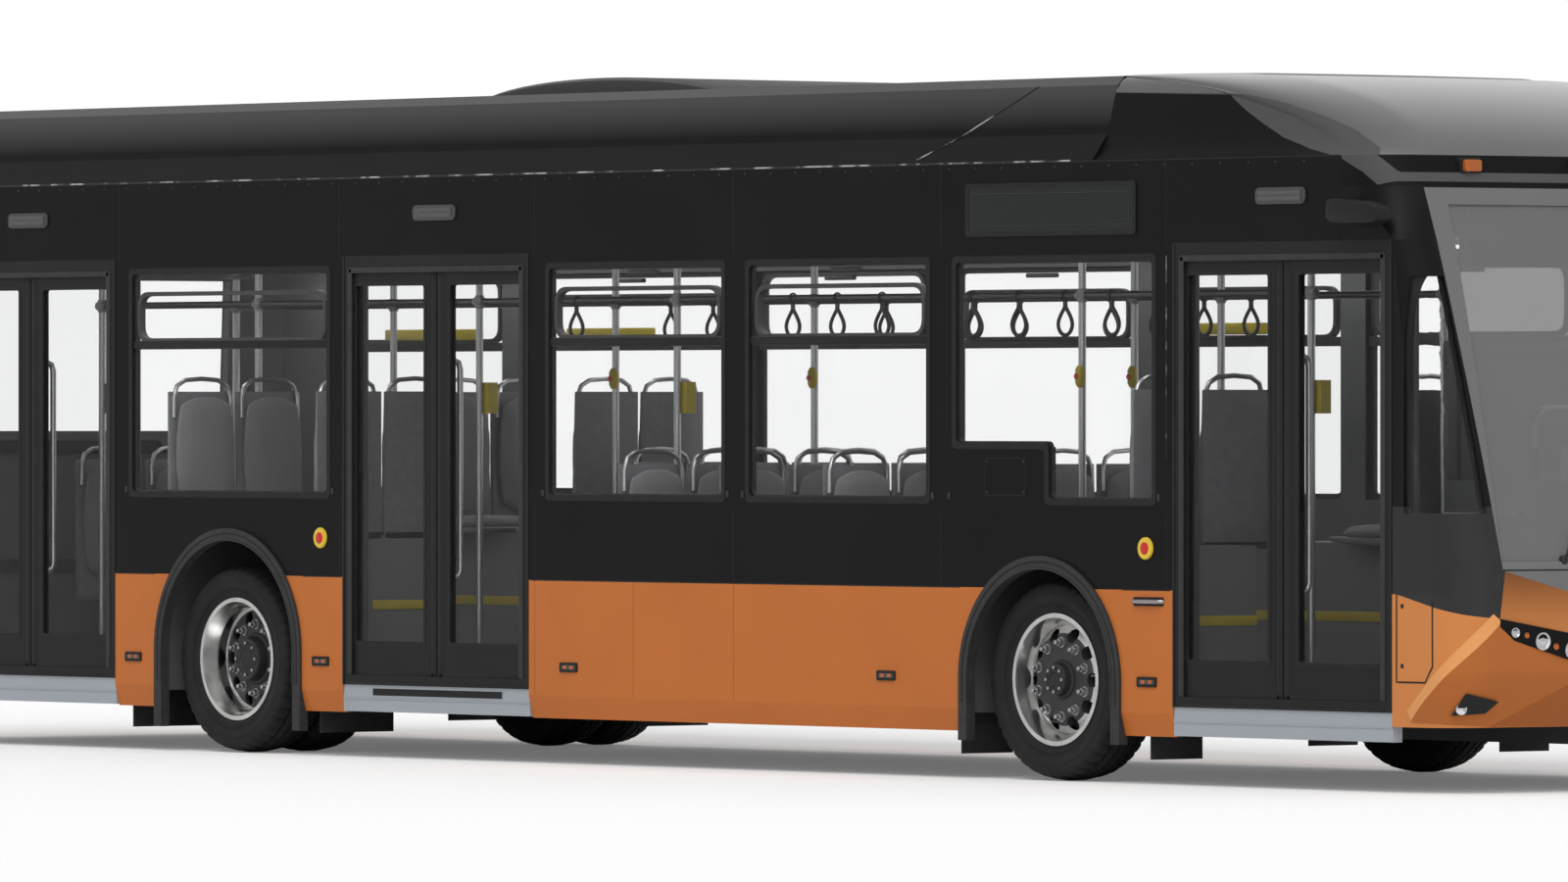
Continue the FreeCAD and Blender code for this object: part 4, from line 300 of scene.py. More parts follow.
def front_paint():
    """Copper-orange paint that is black over a falling line at the sides and grey under the screen."""
    made, top = copper_base("copper_front", FRONT_COPPER)
    x, z = made.axis("X"), made.axis("Z")
    fall = made.mapped(x, FRONT_SEAM_X, 6.035, 0.872, 0.765)
    side = made.times(made.above(z, fall), made.below(x, FACE_X))
    top = made.mixed(side, top, FRONT_BLACK)
    face = made.above(x, FACE_X)
    fade = made.mapped(z, 0.66, 0.95, 0.0, 0.85)
    top = made.mixed(made.times(fade, face), top, DEEP_COPPER)
    rise = made.mapped(made.math("ABSOLUTE", made.axis("Y")), 0.62, 1.05, 0.853, 0.969)
    under_screen = made.times(made.above(z, rise), face)
    made.set(Base_Color=made.mixed(under_screen, top, FRIT_GREY))
    return made.material


def clear_glass(name, tint, haze=0.0):
    """Tinted glass that lets light and shadow rays through, with a share of pale haze on it."""
    made = Finish(name, tint, Roughness=0.02, IOR=1.16, Transmission_Weight=1.0)
    rays = made.new("ShaderNodeLightPath").outputs
    through = made.math("MAXIMUM", rays["Is Shadow Ray"], rays["Is Diffuse Ray"])
    clear = made.new("ShaderNodeBsdfTransparent", Color=tint)
    top = made.blended(through, made.shade.outputs["BSDF"], clear.outputs["BSDF"])
    if haze:
        film = made.new("ShaderNodeBsdfDiffuse", Color=HAZE_GREY)
        top = made.blended(haze, top, film.outputs["BSDF"])
    made.surface(top)
    low = tuple(part * 0.985 for part in tint)
    made.set(Base_Color=made.ramp(made.noise(0.7, 1.0), [(0.3, low), (0.7, tint)]))
    return made.material


def lamp_finish():
    """Ribbed lenses: red at the tail, grey over the doors and dark elsewhere."""
    made = Finish("lamp_lens", (0.02, 0.02, 0.022), Roughness=0.12, Specular_IOR_Level=0.5, Coat_Weight=0.4,
                  Coat_Roughness=0.03)
    top = made.vary((0.018, 0.018, 0.019), 20.0, 0.3)
    top = made.mixed(made.below(made.axis("X"), -5.8), top, TAIL_RED)
    made.set(Base_Color=made.mixed(made.above(made.axis("Z"), 2.5), top, DOOR_LAMP_GREY))
    bands = {"wave_type": "BANDS", "bands_direction": "Z"}
    ribs = made.new("ShaderNodeTexWave", bands, Scale=40.0, Vector=made.place())
    made.bump(ribs.outputs["Fac"], 0.0006)
    return made.material


def speckled(name, colour, fleck, **shader):
    """Cloth or vinyl with fine flecks over a weave."""
    made = Finish(name, colour, **shader)
    dots = made.new("ShaderNodeTexVoronoi", Scale=420.0, Vector=made.place())
    made.set(Base_Color=made.ramp(dots.outputs["Distance"], [(0.10, fleck), (0.24, colour)]))
    made.bump(made.noise(700.0, 2.0), 0.0006, 0.5)
    return made.material


def dotted_display():
    """A dark display face with its unlit dots."""
    made = Finish("display_face", DISPLAY_DARK, Roughness=0.22, Specular_IOR_Level=0.25)
    dots = made.new("ShaderNodeTexVoronoi", Scale=85.0, Randomness=0.0, Vector=made.place())
    made.set(Base_Color=made.ramp(dots.outputs["Distance"], [(0.25, DISPLAY_DOT), (0.36, DISPLAY_DARK)]))
    return made.material


def tyre_rubber():
    made = Finish("tyre_rubber", (0.012, 0.012, 0.012), Roughness=0.75, Specular_IOR_Level=0.3)
    made.vary((0.0125, 0.0122, 0.0120), 7.0, 0.25)
    made.roughen(12.0, 0.62, 0.85)
    made.bump(made.noise(300.0), 0.0006, 0.35)
    return made.material


EDGE_REAR, EDGE_FRONT = 3.5, 6.2
EDGE_LOW, EDGE_HIGH = 2.5, 3.2
# Lower and upper edges of the cap's grey band of painted reflection, as (x, z)
BAND_LOW = (
    (3.50, 3.086), (4.34, 3.060), (4.38, 3.035), (4.46, 2.990), (4.60, 2.925), (4.76, 2.862),
    (4.98, 2.808), (5.22, 2.768), (5.36, 2.705), (5.44, 2.645), (5.50, 2.660),
)
BAND_HIGH = (
    (3.50, 3.087), (4.34, 3.066), (4.485, 3.056), (4.72, 3.018), (4.973, 2.957), (5.18, 2.893),
    (5.368, 2.809), (5.44, 2.755), (5.50, 2.700),
)


def edge_height(made, x, points):
    """The height of an edge line over X, as a value; points are (x, z)."""
    stops = []
    for a, b in points:
        share = (b - EDGE_LOW) / (EDGE_HIGH - EDGE_LOW)
        stops.append(((a - EDGE_REAR) / (EDGE_FRONT - EDGE_REAR), (share, share, share)))
    line = made.ramp(made.mapped(x, EDGE_REAR, EDGE_FRONT), stops)
    split = made.new("ShaderNodeSeparateColor", Color=line)
    return made.level(split.outputs["Red"], EDGE_LOW, EDGE_HIGH)


def dome_finish():
    """The cap over the windscreen: black side, a matt grey band of painted reflection over its rounded corner
    that runs into a thin strip of painted highlight over the screen, and a glossy top.
    """
    made = Finish("dome_finish", DOME_BLACK, Coat_Roughness=0.03, Coat_IOR=1.8)
    x, z = made.axis("X"), made.axis("Z")
    over_low = made.above(z, edge_height(made, x, BAND_LOW))
    over_high = made.above(z, edge_height(made, x, BAND_HIGH))
    on_dome = made.above(z, RAIL_Z + 0.001)
    # Painted reflection: grey between the band's two edges
    low_part = made.mixed(over_low, made.vary(BLACK, 2.0, 0.1), REFLECTION_GREY)
    high_part = made.mixed(on_dome, BLACK, DOME_BLACK)
    gloss = made.times(over_high, on_dome)
    made.set(Base_Color=made.mixed(over_high, low_part, high_part), Roughness=made.level(gloss, 0.48, 0.07),
             Specular_IOR_Level=made.level(gloss, 0.07, 0.8), Coat_Weight=made.level(gloss, 0.0, 1.0))
    made.paint_grain(0.0001, 0.05)
    return made.material


def fairing_finish():
    """Black paint that is glossier where the fairing leans in over the side."""
    made = Finish("fairing_black", BLACK, Roughness=0.36, Coat_Roughness=0.05)
    made.vary(BLACK, 2.0, 0.1)
    lean = made.mapped(made.axis("Z"), 2.93, 3.10)
    made.set(Coat_Weight=made.level(lean, 0.0, 0.9), Specular_IOR_Level=made.level(lean, 0.07, 0.35))
    made.paint_grain()
    return made.material


def rear_finish(name, colour):
    """Paint of the rear end, with the cabin's lining on its inner face."""
    made = Finish(name, colour, Roughness=0.40, Specular_IOR_Level=0.08)
    top = made.vary(colour, 2.0, 0.07)
    x, y = made.axis("X"), made.axis("Y")
    across = made.math("ABSOLUTE", y)
    lean = made.mapped(made.axis("Z"), BELT_Z, RAIL_Z, 0.0, REAR_LEAN)
    skin = made.math("ADD", made.times(y, y, REAR_CURVE), lean)
    ahead = made.above(x, made.math("ADD", skin, REAR_WALL - NOSE))
    corner = made.math("ADD", made.math("SUBTRACT", across, x), lean)
    inside = made.times(ahead, made.below(across, REAR_INSIDE_Y), made.below(corner, REAR_CORNER))
    made.set(Base_Color=made.mixed(inside, top, LINING))
    made.paint_grain()
    return made.material


def frame_finish():
    """Black paint round the windscreen, paler low down, with the glass's pale border next to it."""
    made = Finish("frame_black", BLACK, Roughness=0.36, Specular_IOR_Level=0.10)
    z = made.axis("Z")
    low = made.times(made.below(z, 1.245), made.above(made.axis("X"), FRONT_SEAM_X + 0.002))
    top = made.mixed(low, made.vary(BLACK, 2.0, 0.1), FRONT_BLACK)
    reach = made.mapped(z, 0.97, 2.62, 1.052, 1.092)
    within = made.below(made.math("ABSOLUTE", made.axis("Y")), reach)
    border = made.times(made.above(z, 0.976), made.below(z, 2.634), within)
    made.set(Base_Color=made.mixed(border, top, FRIT_GREY))
    made.paint_grain()
    return made.material


def rail_finish():
    """Brushed metal poles with black rails along the ceiling."""
    made = Finish("rail_finish", POLE_METAL, Roughness=0.30, Metallic=0.85)
    z = made.axis("Z")
    rail = made.times(made.above(z, HANDRAIL_Z - RAIL_BLACK_HALF), made.below(z, HANDRAIL_Z + RAIL_BLACK_HALF))
    made.set(Base_Color=made.mixed(rail, made.vary(POLE_METAL, 50.0, 0.08), RAIL_BLACK),
             Metallic=made.level(rail, 0.85, 0.0))
    made.bump(made.noise(300.0, 2.0), 0.0002, 0.3)
    return made.material


def rim_finish(name, axle_x, dark_reach):
    """Polished wheel metal, painted dark over the disc within a distance of the axle."""
    made = Finish(name, (0.62, 0.62, 0.61), Metallic=1.0, Roughness=0.2)
    fit = made.new("ShaderNodeMapping", Vector=made.place(), Scale=(1.0, 0.0, 1.0),
                   Location=(-axle_x, 0.0, -WHEEL_Z))
    length = made.new("ShaderNodeVectorMath", {"operation": "LENGTH"})
    made.put(fit.outputs["Vector"], length.inputs[0])
    reach = length.outputs["Value"]
    dark = made.below(reach, dark_reach)
    metal = made.ramp(made.noise(10.0, 4.0), [(0.3, (0.50, 0.50, 0.49)), (0.7, (0.70, 0.70, 0.69))])
    made.set(Base_Color=made.mixed(dark, metal, RIM_DARK), Roughness=made.level(dark, 0.20, 0.52),
             Metallic=made.level(dark, 1.0, 0.0))
    made.bump(made.math("SINE", made.times(reach, 900.0)), 0.0002, 0.08)
    return made.material


def glint_finish():
    """Bright metal trim with painted glints: noise along its run turns it from near black to pale, standing in
    for reflections.
    """
    made = Finish("glint_trim", (0.2, 0.2, 0.2), Roughness=0.30, Metallic=0.2, Specular_IOR_Level=0.4)
    # Painted reflection: bright and dark stretches along the trim
    painted_glints = made.noise(2.2, 6.0, (4.0, 1.0, 4.0))
    made.set(Base_Color=made.ramp(painted_glints, [(0.48, (0.012, 0.012, 0.012)), (0.60, (0.42, 0.43, 0.45))]))
    return made.material


black = black_paint("body_black")
wall_black = black_paint("wall_black", inner=WALL_INSIDE_Y)
door_black = black_paint("door_black", (0.0150, 0.0150, 0.0155), rough=0.42, specular=0.12)
dome_skin = dome_finish()
fairing_black = fairing_finish()
frame_black = frame_finish()
rail_metal = rail_finish()
rim_front = rim_finish("rim_front", FRONT_AXLE, 0.209)
rim_rear = rim_finish("rim_rear", REAR_AXLE, 0.240)
rear_copper = rear_finish("rear_copper", COPPER)
rear_black = rear_finish("rear_black", BLACK)
glint = glint_finish()
copper_skirt = copper_paint("copper_skirt", COPPER, SKIRT_INSIDE_Y)
copper_front = front_paint()
copper_highlight = copper_paint("copper_highlight", HIGHLIGHT_COPPER)
copper_shade = copper_paint("copper_shade", SHADED_COPPER)
copper_seam_and_shade = copper_paint("copper_seam_and_shade", SEAM_AND_SHADE_COPPER)
silver = simple("silver_paint", (0.36, 0.39, 0.43), 8.0, 0.04, 0.0002, 0.32, 0.45, Metallic=0.25,
                Specular_IOR_Level=0.4)
rubber = simple("black_rubber", (0.030, 0.030, 0.031), 90.0, 0.18, 0.0006, 0.55, 0.7, Specular_IOR_Level=0.3)
seal = simple("seal_rubber", (0.011, 0.011, 0.0115), 90.0, 0.18, 0.0005, 0.5, 0.65, Specular_IOR_Level=0.25)
tyre = tyre_rubber()
hub_dark = simple("hub_dark", (0.032, 0.032, 0.034), 60.0, 0.2, 0.0006, 0.4, 0.55, Metallic=0.6)
steel = simple("brushed_steel", POLE_METAL, 300.0, 0.08, 0.0002, 0.24, 0.36, Metallic=0.9)
iron = simple("painted_iron", (0.018, 0.018, 0.019), 30.0, 0.3, 0.0008, 0.5, 0.7)
roof_grey = simple("ceiling_grey", (0.10, 0.10, 0.105), 30.0, 0.08, 0.0004, 0.5, 0.62)
unit_grey = simple("unit_black", (0.016, 0.016, 0.017), 20.0, 0.15, 0.0005, 0.35, 0.5)
cab_grey = simple("cab_plastic", (0.075, 0.076, 0.080), 120.0, 0.12, 0.0007, 0.5, 0.65)
pale_plastic = simple("pale_plastic", (0.20, 0.20, 0.205), 120.0, 0.10, 0.0006, 0.45, 0.6)
housing_grey = simple("housing_grey", (0.048, 0.048, 0.050), 120.0, 0.10, 0.0005, 0.45, 0.6)
amber_dim = simple("amber_dim", (0.44, 0.105, 0.010), 40.0, 0.15, 0.0004, 0.14, 0.22)
strip_light = simple("strip_light", (0.55, 0.55, 0.55), 40.0, 0.05, 0.0003, 0.4, 0.5, Emission_Color=WHITE,
                     Emission_Strength=5.0)
yellow = simple("yellow_plastic", (0.42, 0.33, 0.010), 120.0, 0.08, 0.0005, 0.4, 0.52)
button_yellow = simple("button_yellow", (0.72, 0.50, 0.030), 120.0, 0.08, 0.0005, 0.4, 0.52)
round_lens = simple("round_lens", (0.5, 0.5, 0.5), 40.0, 0.1, 0.0003, 0.2, 0.3, Emission_Color=WHITE,
                    Emission_Strength=1.8)
red = simple("red_plastic", (0.55, 0.010, 0.010), 60.0, 0.10, 0.0003, 0.3, 0.4)
reflector = simple("lamp_reflector", (0.55, 0.56, 0.58), 30.0, 0.2, 0.0004, 0.08, 0.16, Metallic=0.9)
strap_black = simple("strap_black", (0.012, 0.012, 0.012), 200.0, 0.15, 0.0005, 0.45, 0.6)
seat_cloth = speckled("seat_cloth", (0.130, 0.131, 0.135), (0.19, 0.19, 0.195), Roughness=0.85,
                      Sheen_Weight=0.2)
floor_vinyl = speckled("floor_vinyl", (0.125, 0.125, 0.128), (0.19, 0.19, 0.19), Roughness=0.55)
seat_shell = simple("seat_shell", (0.125, 0.126, 0.131), 140.0, 0.10, 0.0005, 0.4, 0.55)
lens = lamp_finish()
display_face = dotted_display()
window_glass = clear_glass("window_glass", (0.965, 0.968, 0.968))
door_glass = clear_glass("door_glass", (0.90, 0.905, 0.905))
screen_glass = clear_glass("screen_glass", (0.86, 0.865, 0.87), haze=0.58)

NODES_BY_FINISH = (
    (wall_black, "side_walls"), (copper_skirt, "skirts"), (rubber, "arch_trims mud_flaps"),
    (door_black, "door_portals camera_pods"), (silver, "door_sills"), (floor_vinyl, "floor_deck wheel_boxes"),
    (iron, "chassis_frame axle_beams knuckle_right knuckle_left"), (fairing_black, "roof_fairings"),
    (unit_grey, "roof_units"), (roof_grey, "roof_shell"), (copper_front, "front_panel"),
    (frame_black, "front_frame"), (dome_skin, "front_dome"), (screen_glass, "windscreen"),
    (window_glass, "window_glass"), (rear_copper, "rear_panel"), (rear_black, "rear_wall rear_hatch"),
    (display_face, "destination_displays"), (lens, "lamps"), (rail_metal, "grab_rails"),
    (yellow, "yellow_fittings"), (cab_grey, "driver_cab"), (strap_black, "steering_wheel"),
    (rim_front, "rim_front_right rim_front_left"), (rim_rear, "rims_rear_right rims_rear_left"),
    (iron, " ".join("door_arm_%s_%s" % (place, half) for place in DOOR_CENTRES for half in HALVES)),
)
for finish, names in NODES_BY_FINISH:
    for name in names.split():
        for holder in nodes[name].material_slots:
            holder.material = finish


# Pieces are collected part by part, then placed on their body

def turns(count):
    """Angles of that many even steps round a circle."""
    return [math.tau * step / count for step in range(count)]


def looped(items):
    """Each item with the one after it, round to the first."""
    return list(zip(items, items[1:] + items[:1]))


def band(part, first, second):
    """Faces between two closed loops of as many corners."""
    for (a, b), (c, d) in zip(looped(first), looped(second)):
        part.faces.new([a, b, d, c])


def bevelled(part, edges, offset):
    bmesh.ops.bevel(part, geom=edges, offset=offset, segments=2, profile=0.5, affect="EDGES",
                    clamp_overlap=True)


class Piece:
    def __init__(self, name, body, slot, *finishes):
        self.name = name
        self.body = body
        self.slot = slot
        self.finishes = finishes
        self.bm = bmesh.new()

    def add(self, part):
        """Adds the faces of a part, which is used up."""
        mesh = bpy.data.meshes.new("part")
        part.to_mesh(mesh)
        part.free()
        self.bm.from_mesh(mesh)
        bpy.data.meshes.remove(mesh)

    def take(self, part, finish=0):
        """Adds a part in one of the finishes."""
        for face in part.faces:
            face.material_index = finish
        self.add(part)

    def solid(self, part, finish):
        """Adds a part after turning its faces outwards."""
        bmesh.ops.recalc_face_normals(part, faces=part.faces[:])
        self.take(part, finish)

    def mirror(self):
        """Adds all that is there once more on the other side of the middle plane."""
        part = self.bm.copy()
        part.transform(Matrix.Scale(-1.0, 4, (0, 1, 0)))
        bmesh.ops.reverse_faces(part, faces=part.faces[:])
        self.add(part)

    def faces(self, corners, faces, finish=0):
        part = bmesh.new()
        made = [part.verts.new(corner) for corner in corners]
        for face in faces:
            part.faces.new([made[index] for index in face])
        self.solid(part, finish)

    def box(self, low, high, finish=0, bevel=0.0):
        """A block between two corners with rounded edges."""
        part = bmesh.new()
        bmesh.ops.create_cube(part, size=1.0)
        for vert in part.verts:
            vert.co = Vector([low[i] + (high[i] - low[i]) * (vert.co[i] + 0.5) for i in range(3)])
        if bevel:
            bevelled(part, part.edges[:], bevel)
        self.take(part, finish)

    def prism(self, points, axis, low, high, finish=0, bevel=0.0):
        """A solid between low and high along X, Y or Z; points are in the other two axes."""
        part = bmesh.new()
        rings = [[part.verts.new(spot(axis, level, point)) for point in points] for level in (low, high)]
        part.faces.new(rings[0])
        part.faces.new(rings[1][::-1])
        for (a, b), (c, d) in zip(looped(rings[0]), looped(rings[1])):
            part.faces.new([b, a, c, d])
        bmesh.ops.recalc_face_normals(part, faces=part.faces[:])
        if bevel:
            bevelled(part, [edge for edge in part.edges if edge.calc_face_angle(0.0) > 0.9], bevel)
        self.take(part, finish)

    def ring(self, outer, inner, axis, low, high, finish=0):
        """A flat frame between two outlines of as many points."""
        part = bmesh.new()
        loops = [[part.verts.new(spot(axis, level, point)) for point in points]
                 for level in (low, high) for points in (outer, inner)]
        for first, second in ((0, 1), (1, 3), (3, 2), (2, 0)):
            band(part, loops[first], loops[second])
        self.solid(part, finish)

    def tube(self, points, radius, finish=0, sides=10, closed=False):
        """A round bar along a path."""
        part = bmesh.new()
        path = [Vector(point) for point in points]
        count = len(path)
        rings = []
        side = None
        for index, point in enumerate(path):
            before = path[(index - 1) % count] if closed or index else point
            after = path[(index + 1) % count] if closed or index < count - 1 else point
            along = (after - before).normalized()
            if side is None:
                side = along.orthogonal().normalized()
            side = (side - along * side.dot(along)).normalized()
            other = along.cross(side)
            rings.append([part.verts.new(point + (side * math.cos(turn) + other * math.sin(turn)) * radius)
                          for turn in turns(sides)])
        for index in range(count if closed else count - 1):
            band(part, rings[index], rings[(index + 1) % count])
        if not closed:
            part.faces.new(rings[0][::-1])
            part.faces.new(rings[-1])
        self.solid(part, finish)

    def turned(self, profile, centre, axis, finish=0, steps=32):
        """A form turned about an axis through centre; the profile is (distance along it, radius)."""
        part = bmesh.new()
        along, side, other = frame_of(axis)
        rings = []
        for turn in turns(steps):
            out = side * math.cos(turn) + other * math.sin(turn)
            rings.append([part.verts.new(Vector(centre) + along * reach + out * radius)
                          for reach, radius in profile])
        for first, second in looped(rings):
            for index in range(len(profile) - 1):
                part.faces.new([first[index], first[index + 1], second[index + 1], second[index]])
        bmesh.ops.remove_doubles(part, verts=part.verts[:], dist=1e-6)
        self.solid(part, finish)

    def hexagon(self, centre, axis, radius, height, finish=0):
        """A nut with a chamfered top."""
        profile = [(0.0, radius), (height * 0.85, radius), (height, radius * 0.86), (height, 0.0)]
        self.turned(profile, centre, axis, finish, 6)

    def place(self, angle=35.0):
        """Makes the object; edges sharper than the angle stay sharp."""
        mesh = bpy.data.meshes.new(self.name)
        self.bm.to_mesh(mesh)
        self.bm.free()
        for made in self.finishes:
            mesh.materials.append(made)
        mesh.shade_smooth()
        mesh.set_sharp_from_angle(angle=math.radians(angle))
        item = linked(self.name, mesh)
        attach(item, self.body)
        return item


def spot(axis, level, point):
    """A point of an outline that lies across an axis."""
    a, b = point
    return {"X": (level, a, b), "Y": (a, level, b), "Z": (a, b, level)}[axis]


def frame_of(axis):
    """A direction and two more across it."""
    along = Vector({"X": (1, 0, 0), "Y": (0, 1, 0), "Z": (0, 0, 1)}.get(axis, axis)).normalized()
    side = Vector((0, 0, 1)) if abs(along.z) < 0.9 else Vector((1, 0, 0))
    side = (side - along * side.dot(along)).normalized()
    return along, side, along.cross(side)


def neighbours(points):
    """Each point of a closed outline between the ones before and after it."""
    spots = [Vector(point) for point in points]
    return zip(spots[-1:] + spots[:-1], spots, spots[1:] + spots[:1])


def rounded(points, radius, steps=4):
    """An outline with its corners rounded."""
    out = []
    for before, here, after in neighbours(points):
        reach = min(radius, (before - here).length * 0.45, (after - here).length * 0.45)
        first = here + (before - here).normalized() * reach
        last = here + (after - here).normalized() * reach
        for step in range(steps + 1):
            share = step / steps
            out.append(tuple(first * (1 - share) ** 2 + here * 2 * share * (1 - share) + last * share ** 2))
    return out


def rect(x_low, x_high, z_low, z_high):
    return [(x_low, z_low), (x_high, z_low), (x_high, z_high), (x_low, z_high)]


def grown(points, by):
    """An outline of right-angled corners, anticlockwise, moved outwards by a distance."""
    out = []
    for before, here, after in neighbours(points):
        run, turned = (here - before).normalized(), (after - here).normalized()
        out.append(tuple(here + (Vector((run.y, -run.x)) + Vector((turned.y, -turned.x))) * by))
    return out


def span_y(side, inner, outer):
    return tuple(sorted((side * inner, side * outer)))


# Window rubbers, vents and their latches

WINDOWS = {
    "A": (2.585, 3.982), "B": (1.093, 2.411), "C": (-0.408, 0.926), "D": (-3.735, -2.111),
    "E": (-1.93, -0.61), "F": (-5.28, -3.97), "G": (4.10, 5.35),
}
SILL_Z = 1.25
HIGH_SILL_Z = 1.50
HEAD_Z = 2.35
VENT_Z = 1.985
STEP_X = 3.234


def window_outline(key, side):
    rear, front = WINDOWS[key]
    if key == "A" and side < 0:
        return [(rear, HIGH_SILL_Z), (STEP_X, HIGH_SILL_Z), (STEP_X, SILL_Z), (front, SILL_Z),
                (front, HEAD_Z), (rear, HEAD_Z)]
    return rect(rear, front, SILL_Z, HEAD_Z)


def vent_trims(trim, key, side):
    """The bar under a window's vent, the vent's frame and its grip."""
    rear, front = WINDOWS[key]
    low, high = span_y(side, HALF - 0.016, HALF - 0.004)
    trim.box((rear + 0.015, low, VENT_Z - 0.018), (front - 0.015, high, VENT_Z + 0.018), 0, 0.003)
    low, high = span_y(side, HALF - 0.048, HALF - 0.0145)
    trim.box((rear + 0.01, low, VENT_Z - 0.022), (front - 0.01, high, VENT_Z + 0.022), 1, 0.004)
    pane = rect(rear + 0.03, front - 0.03, VENT_Z + 0.02, HEAD_Z - 0.012)
    if key in "BCD":
        pane = rect(rear + 0.045, front - 0.045, VENT_Z + 0.012, 2.245)
    trim.ring(rounded(pane, 0.085, 6), rounded(grown(pane, -0.021), 0.066, 6), "Y", low, high, 2)
    middle = (rear + front) / 2
    low, high = span_y(side, HALF - 0.075, HALF - 0.046)
    trim.box((middle - 0.11, low, HEAD_Z - 0.050), (middle + 0.11, high, HEAD_Z - 0.028), 2, 0.006)


def window_trims(side_name):
    side = SIDES[side_name]
    trim = Piece("window_trims_" + side_name, "body", "trim", seal, rubber, strap_black)
    keys, fixed = ("ABCD", "A") if side < 0 else ("ABCDEFG", "G")
    for key in keys:
        outline = window_outline(key, side)
        low, high = span_y(side, HALF - 0.011, HALF + 0.0015)
        trim.ring(rounded(grown(outline, 0.010), 0.030), rounded(grown(outline, -0.018), 0.030), "Y", low, high)
        low, high = span_y(side, HALF - 0.030, HALF - 0.0145)
        trim.ring(rounded(grown(outline, -0.002), 0.01), rounded(grown(outline, -0.026), 0.035), "Y", low, high)
        if key != fixed:
            vent_trims(trim, key, side)
    trim.place()


for side_name in SIDES:
    window_trims(side_name)


# Panel seams and rivets along the sides

SEAMS = (-3.825, -2.025, -0.50, 0.998, 2.498, 4.062)
SKIRT_SEAMS = (0.998, 0.25, -0.50)
BELT_SEAMS = ((-5.70, -5.33), (-3.85, -3.53), (-2.32, -2.01), (-0.53, 2.63), (3.76, 4.09))


def body_lines(side_name):
    side = SIDES[side_name]
    lines = Piece("panel_seams_" + side_name, "body", "trim", seal, hub_dark, copper_seam_and_shade)
    low, high = span_y(side, HALF - 0.004, HALF + 0.0007)
    for x in SEAMS:
        for foot, top in ((BELT_Z, HIGH_SILL_Z - 0.3), (HEAD_Z + 0.04, RAIL_Z - 0.004)):
            lines.box((x - SEAM_GAP / 2, low, foot), (x + SEAM_GAP / 2, high, top), 0)
    for x in SKIRT_SEAMS:
        lines.box((x - 0.0015, low, 0.322), (x + 0.0015, high, BELT_Z), 2)
    for rear, front in BELT_SEAMS:
        lines.box((rear, low, BELT_Z - 0.003), (front, high, BELT_Z + 0.003), 0)
    lines.box((-5.70, low, RAIL_Z - 0.003), (5.22, high, RAIL_Z + 0.003), 0)
    random.seed(3)
    x = -5.6
    while x < 5.15:
        lines.turned([(0.0, 0.006), (0.0022, 0.0045), (0.003, 0.0)],
                     (x, side * HALF, RAIL_Z - 0.022), (0, side, 0), 1, 10)
        x += 0.185 + random.uniform(-0.006, 0.006)
    lines.place()


for side_name in SIDES:
    body_lines(side_name)


# Highlight lip along the foot of the roof fairings

FAIRING_Y = 1.180
FAIRING_Z = 2.900
ROOF_EDGE_Y = 1.120
ROOF_EDGE_Z = 3.120


def fairing_y(z):
    """The fairing's outer face at height z."""
    if z <= FAIRING_Z:
        return HALF - (HALF - FAIRING_Y) * (z - RAIL_Z) / (FAIRING_Z - RAIL_Z)
    return FAIRING_Y - (FAIRING_Y - ROOF_EDGE_Y) * (z - FAIRING_Z) / (ROOF_EDGE_Z - FAIRING_Z)


def fairing_lips():
    lip = Piece("fairing_lips", "body", "trim", glint)
    for side in SIDES.values():
        y = side * (HALF - 0.002)
        lip.tube([(-5.70 + 0.35 * step, y, RAIL_Z + 0.004) for step in range(27)], 0.0042, 0, 8)
        seam = [(2.305 + 0.695 * step / 12, 2.80 + 0.32 * step / 12) for step in range(13)]
        lip.tube([(x, side * (fairing_y(z) + 0.0004), z) for x, z in seam], 0.0036, 0, 8)
        lip.tube([(4.062, side * (HALF + 0.0002), 1.45 + 0.90 * step / 10) for step in range(11)], 0.0022, 0, 6)
    lip.place()


fairing_lips()


# Doors: leaf frames, glass, rubber edges and grips; each stands for its CAD leaf

LEAF_FOOT_Z = 0.385
LEAF_TOP_Z = 2.351
LEAF_OUTER = -1.264
LEAF_INNER = -1.228
LINK_Y = -1.142


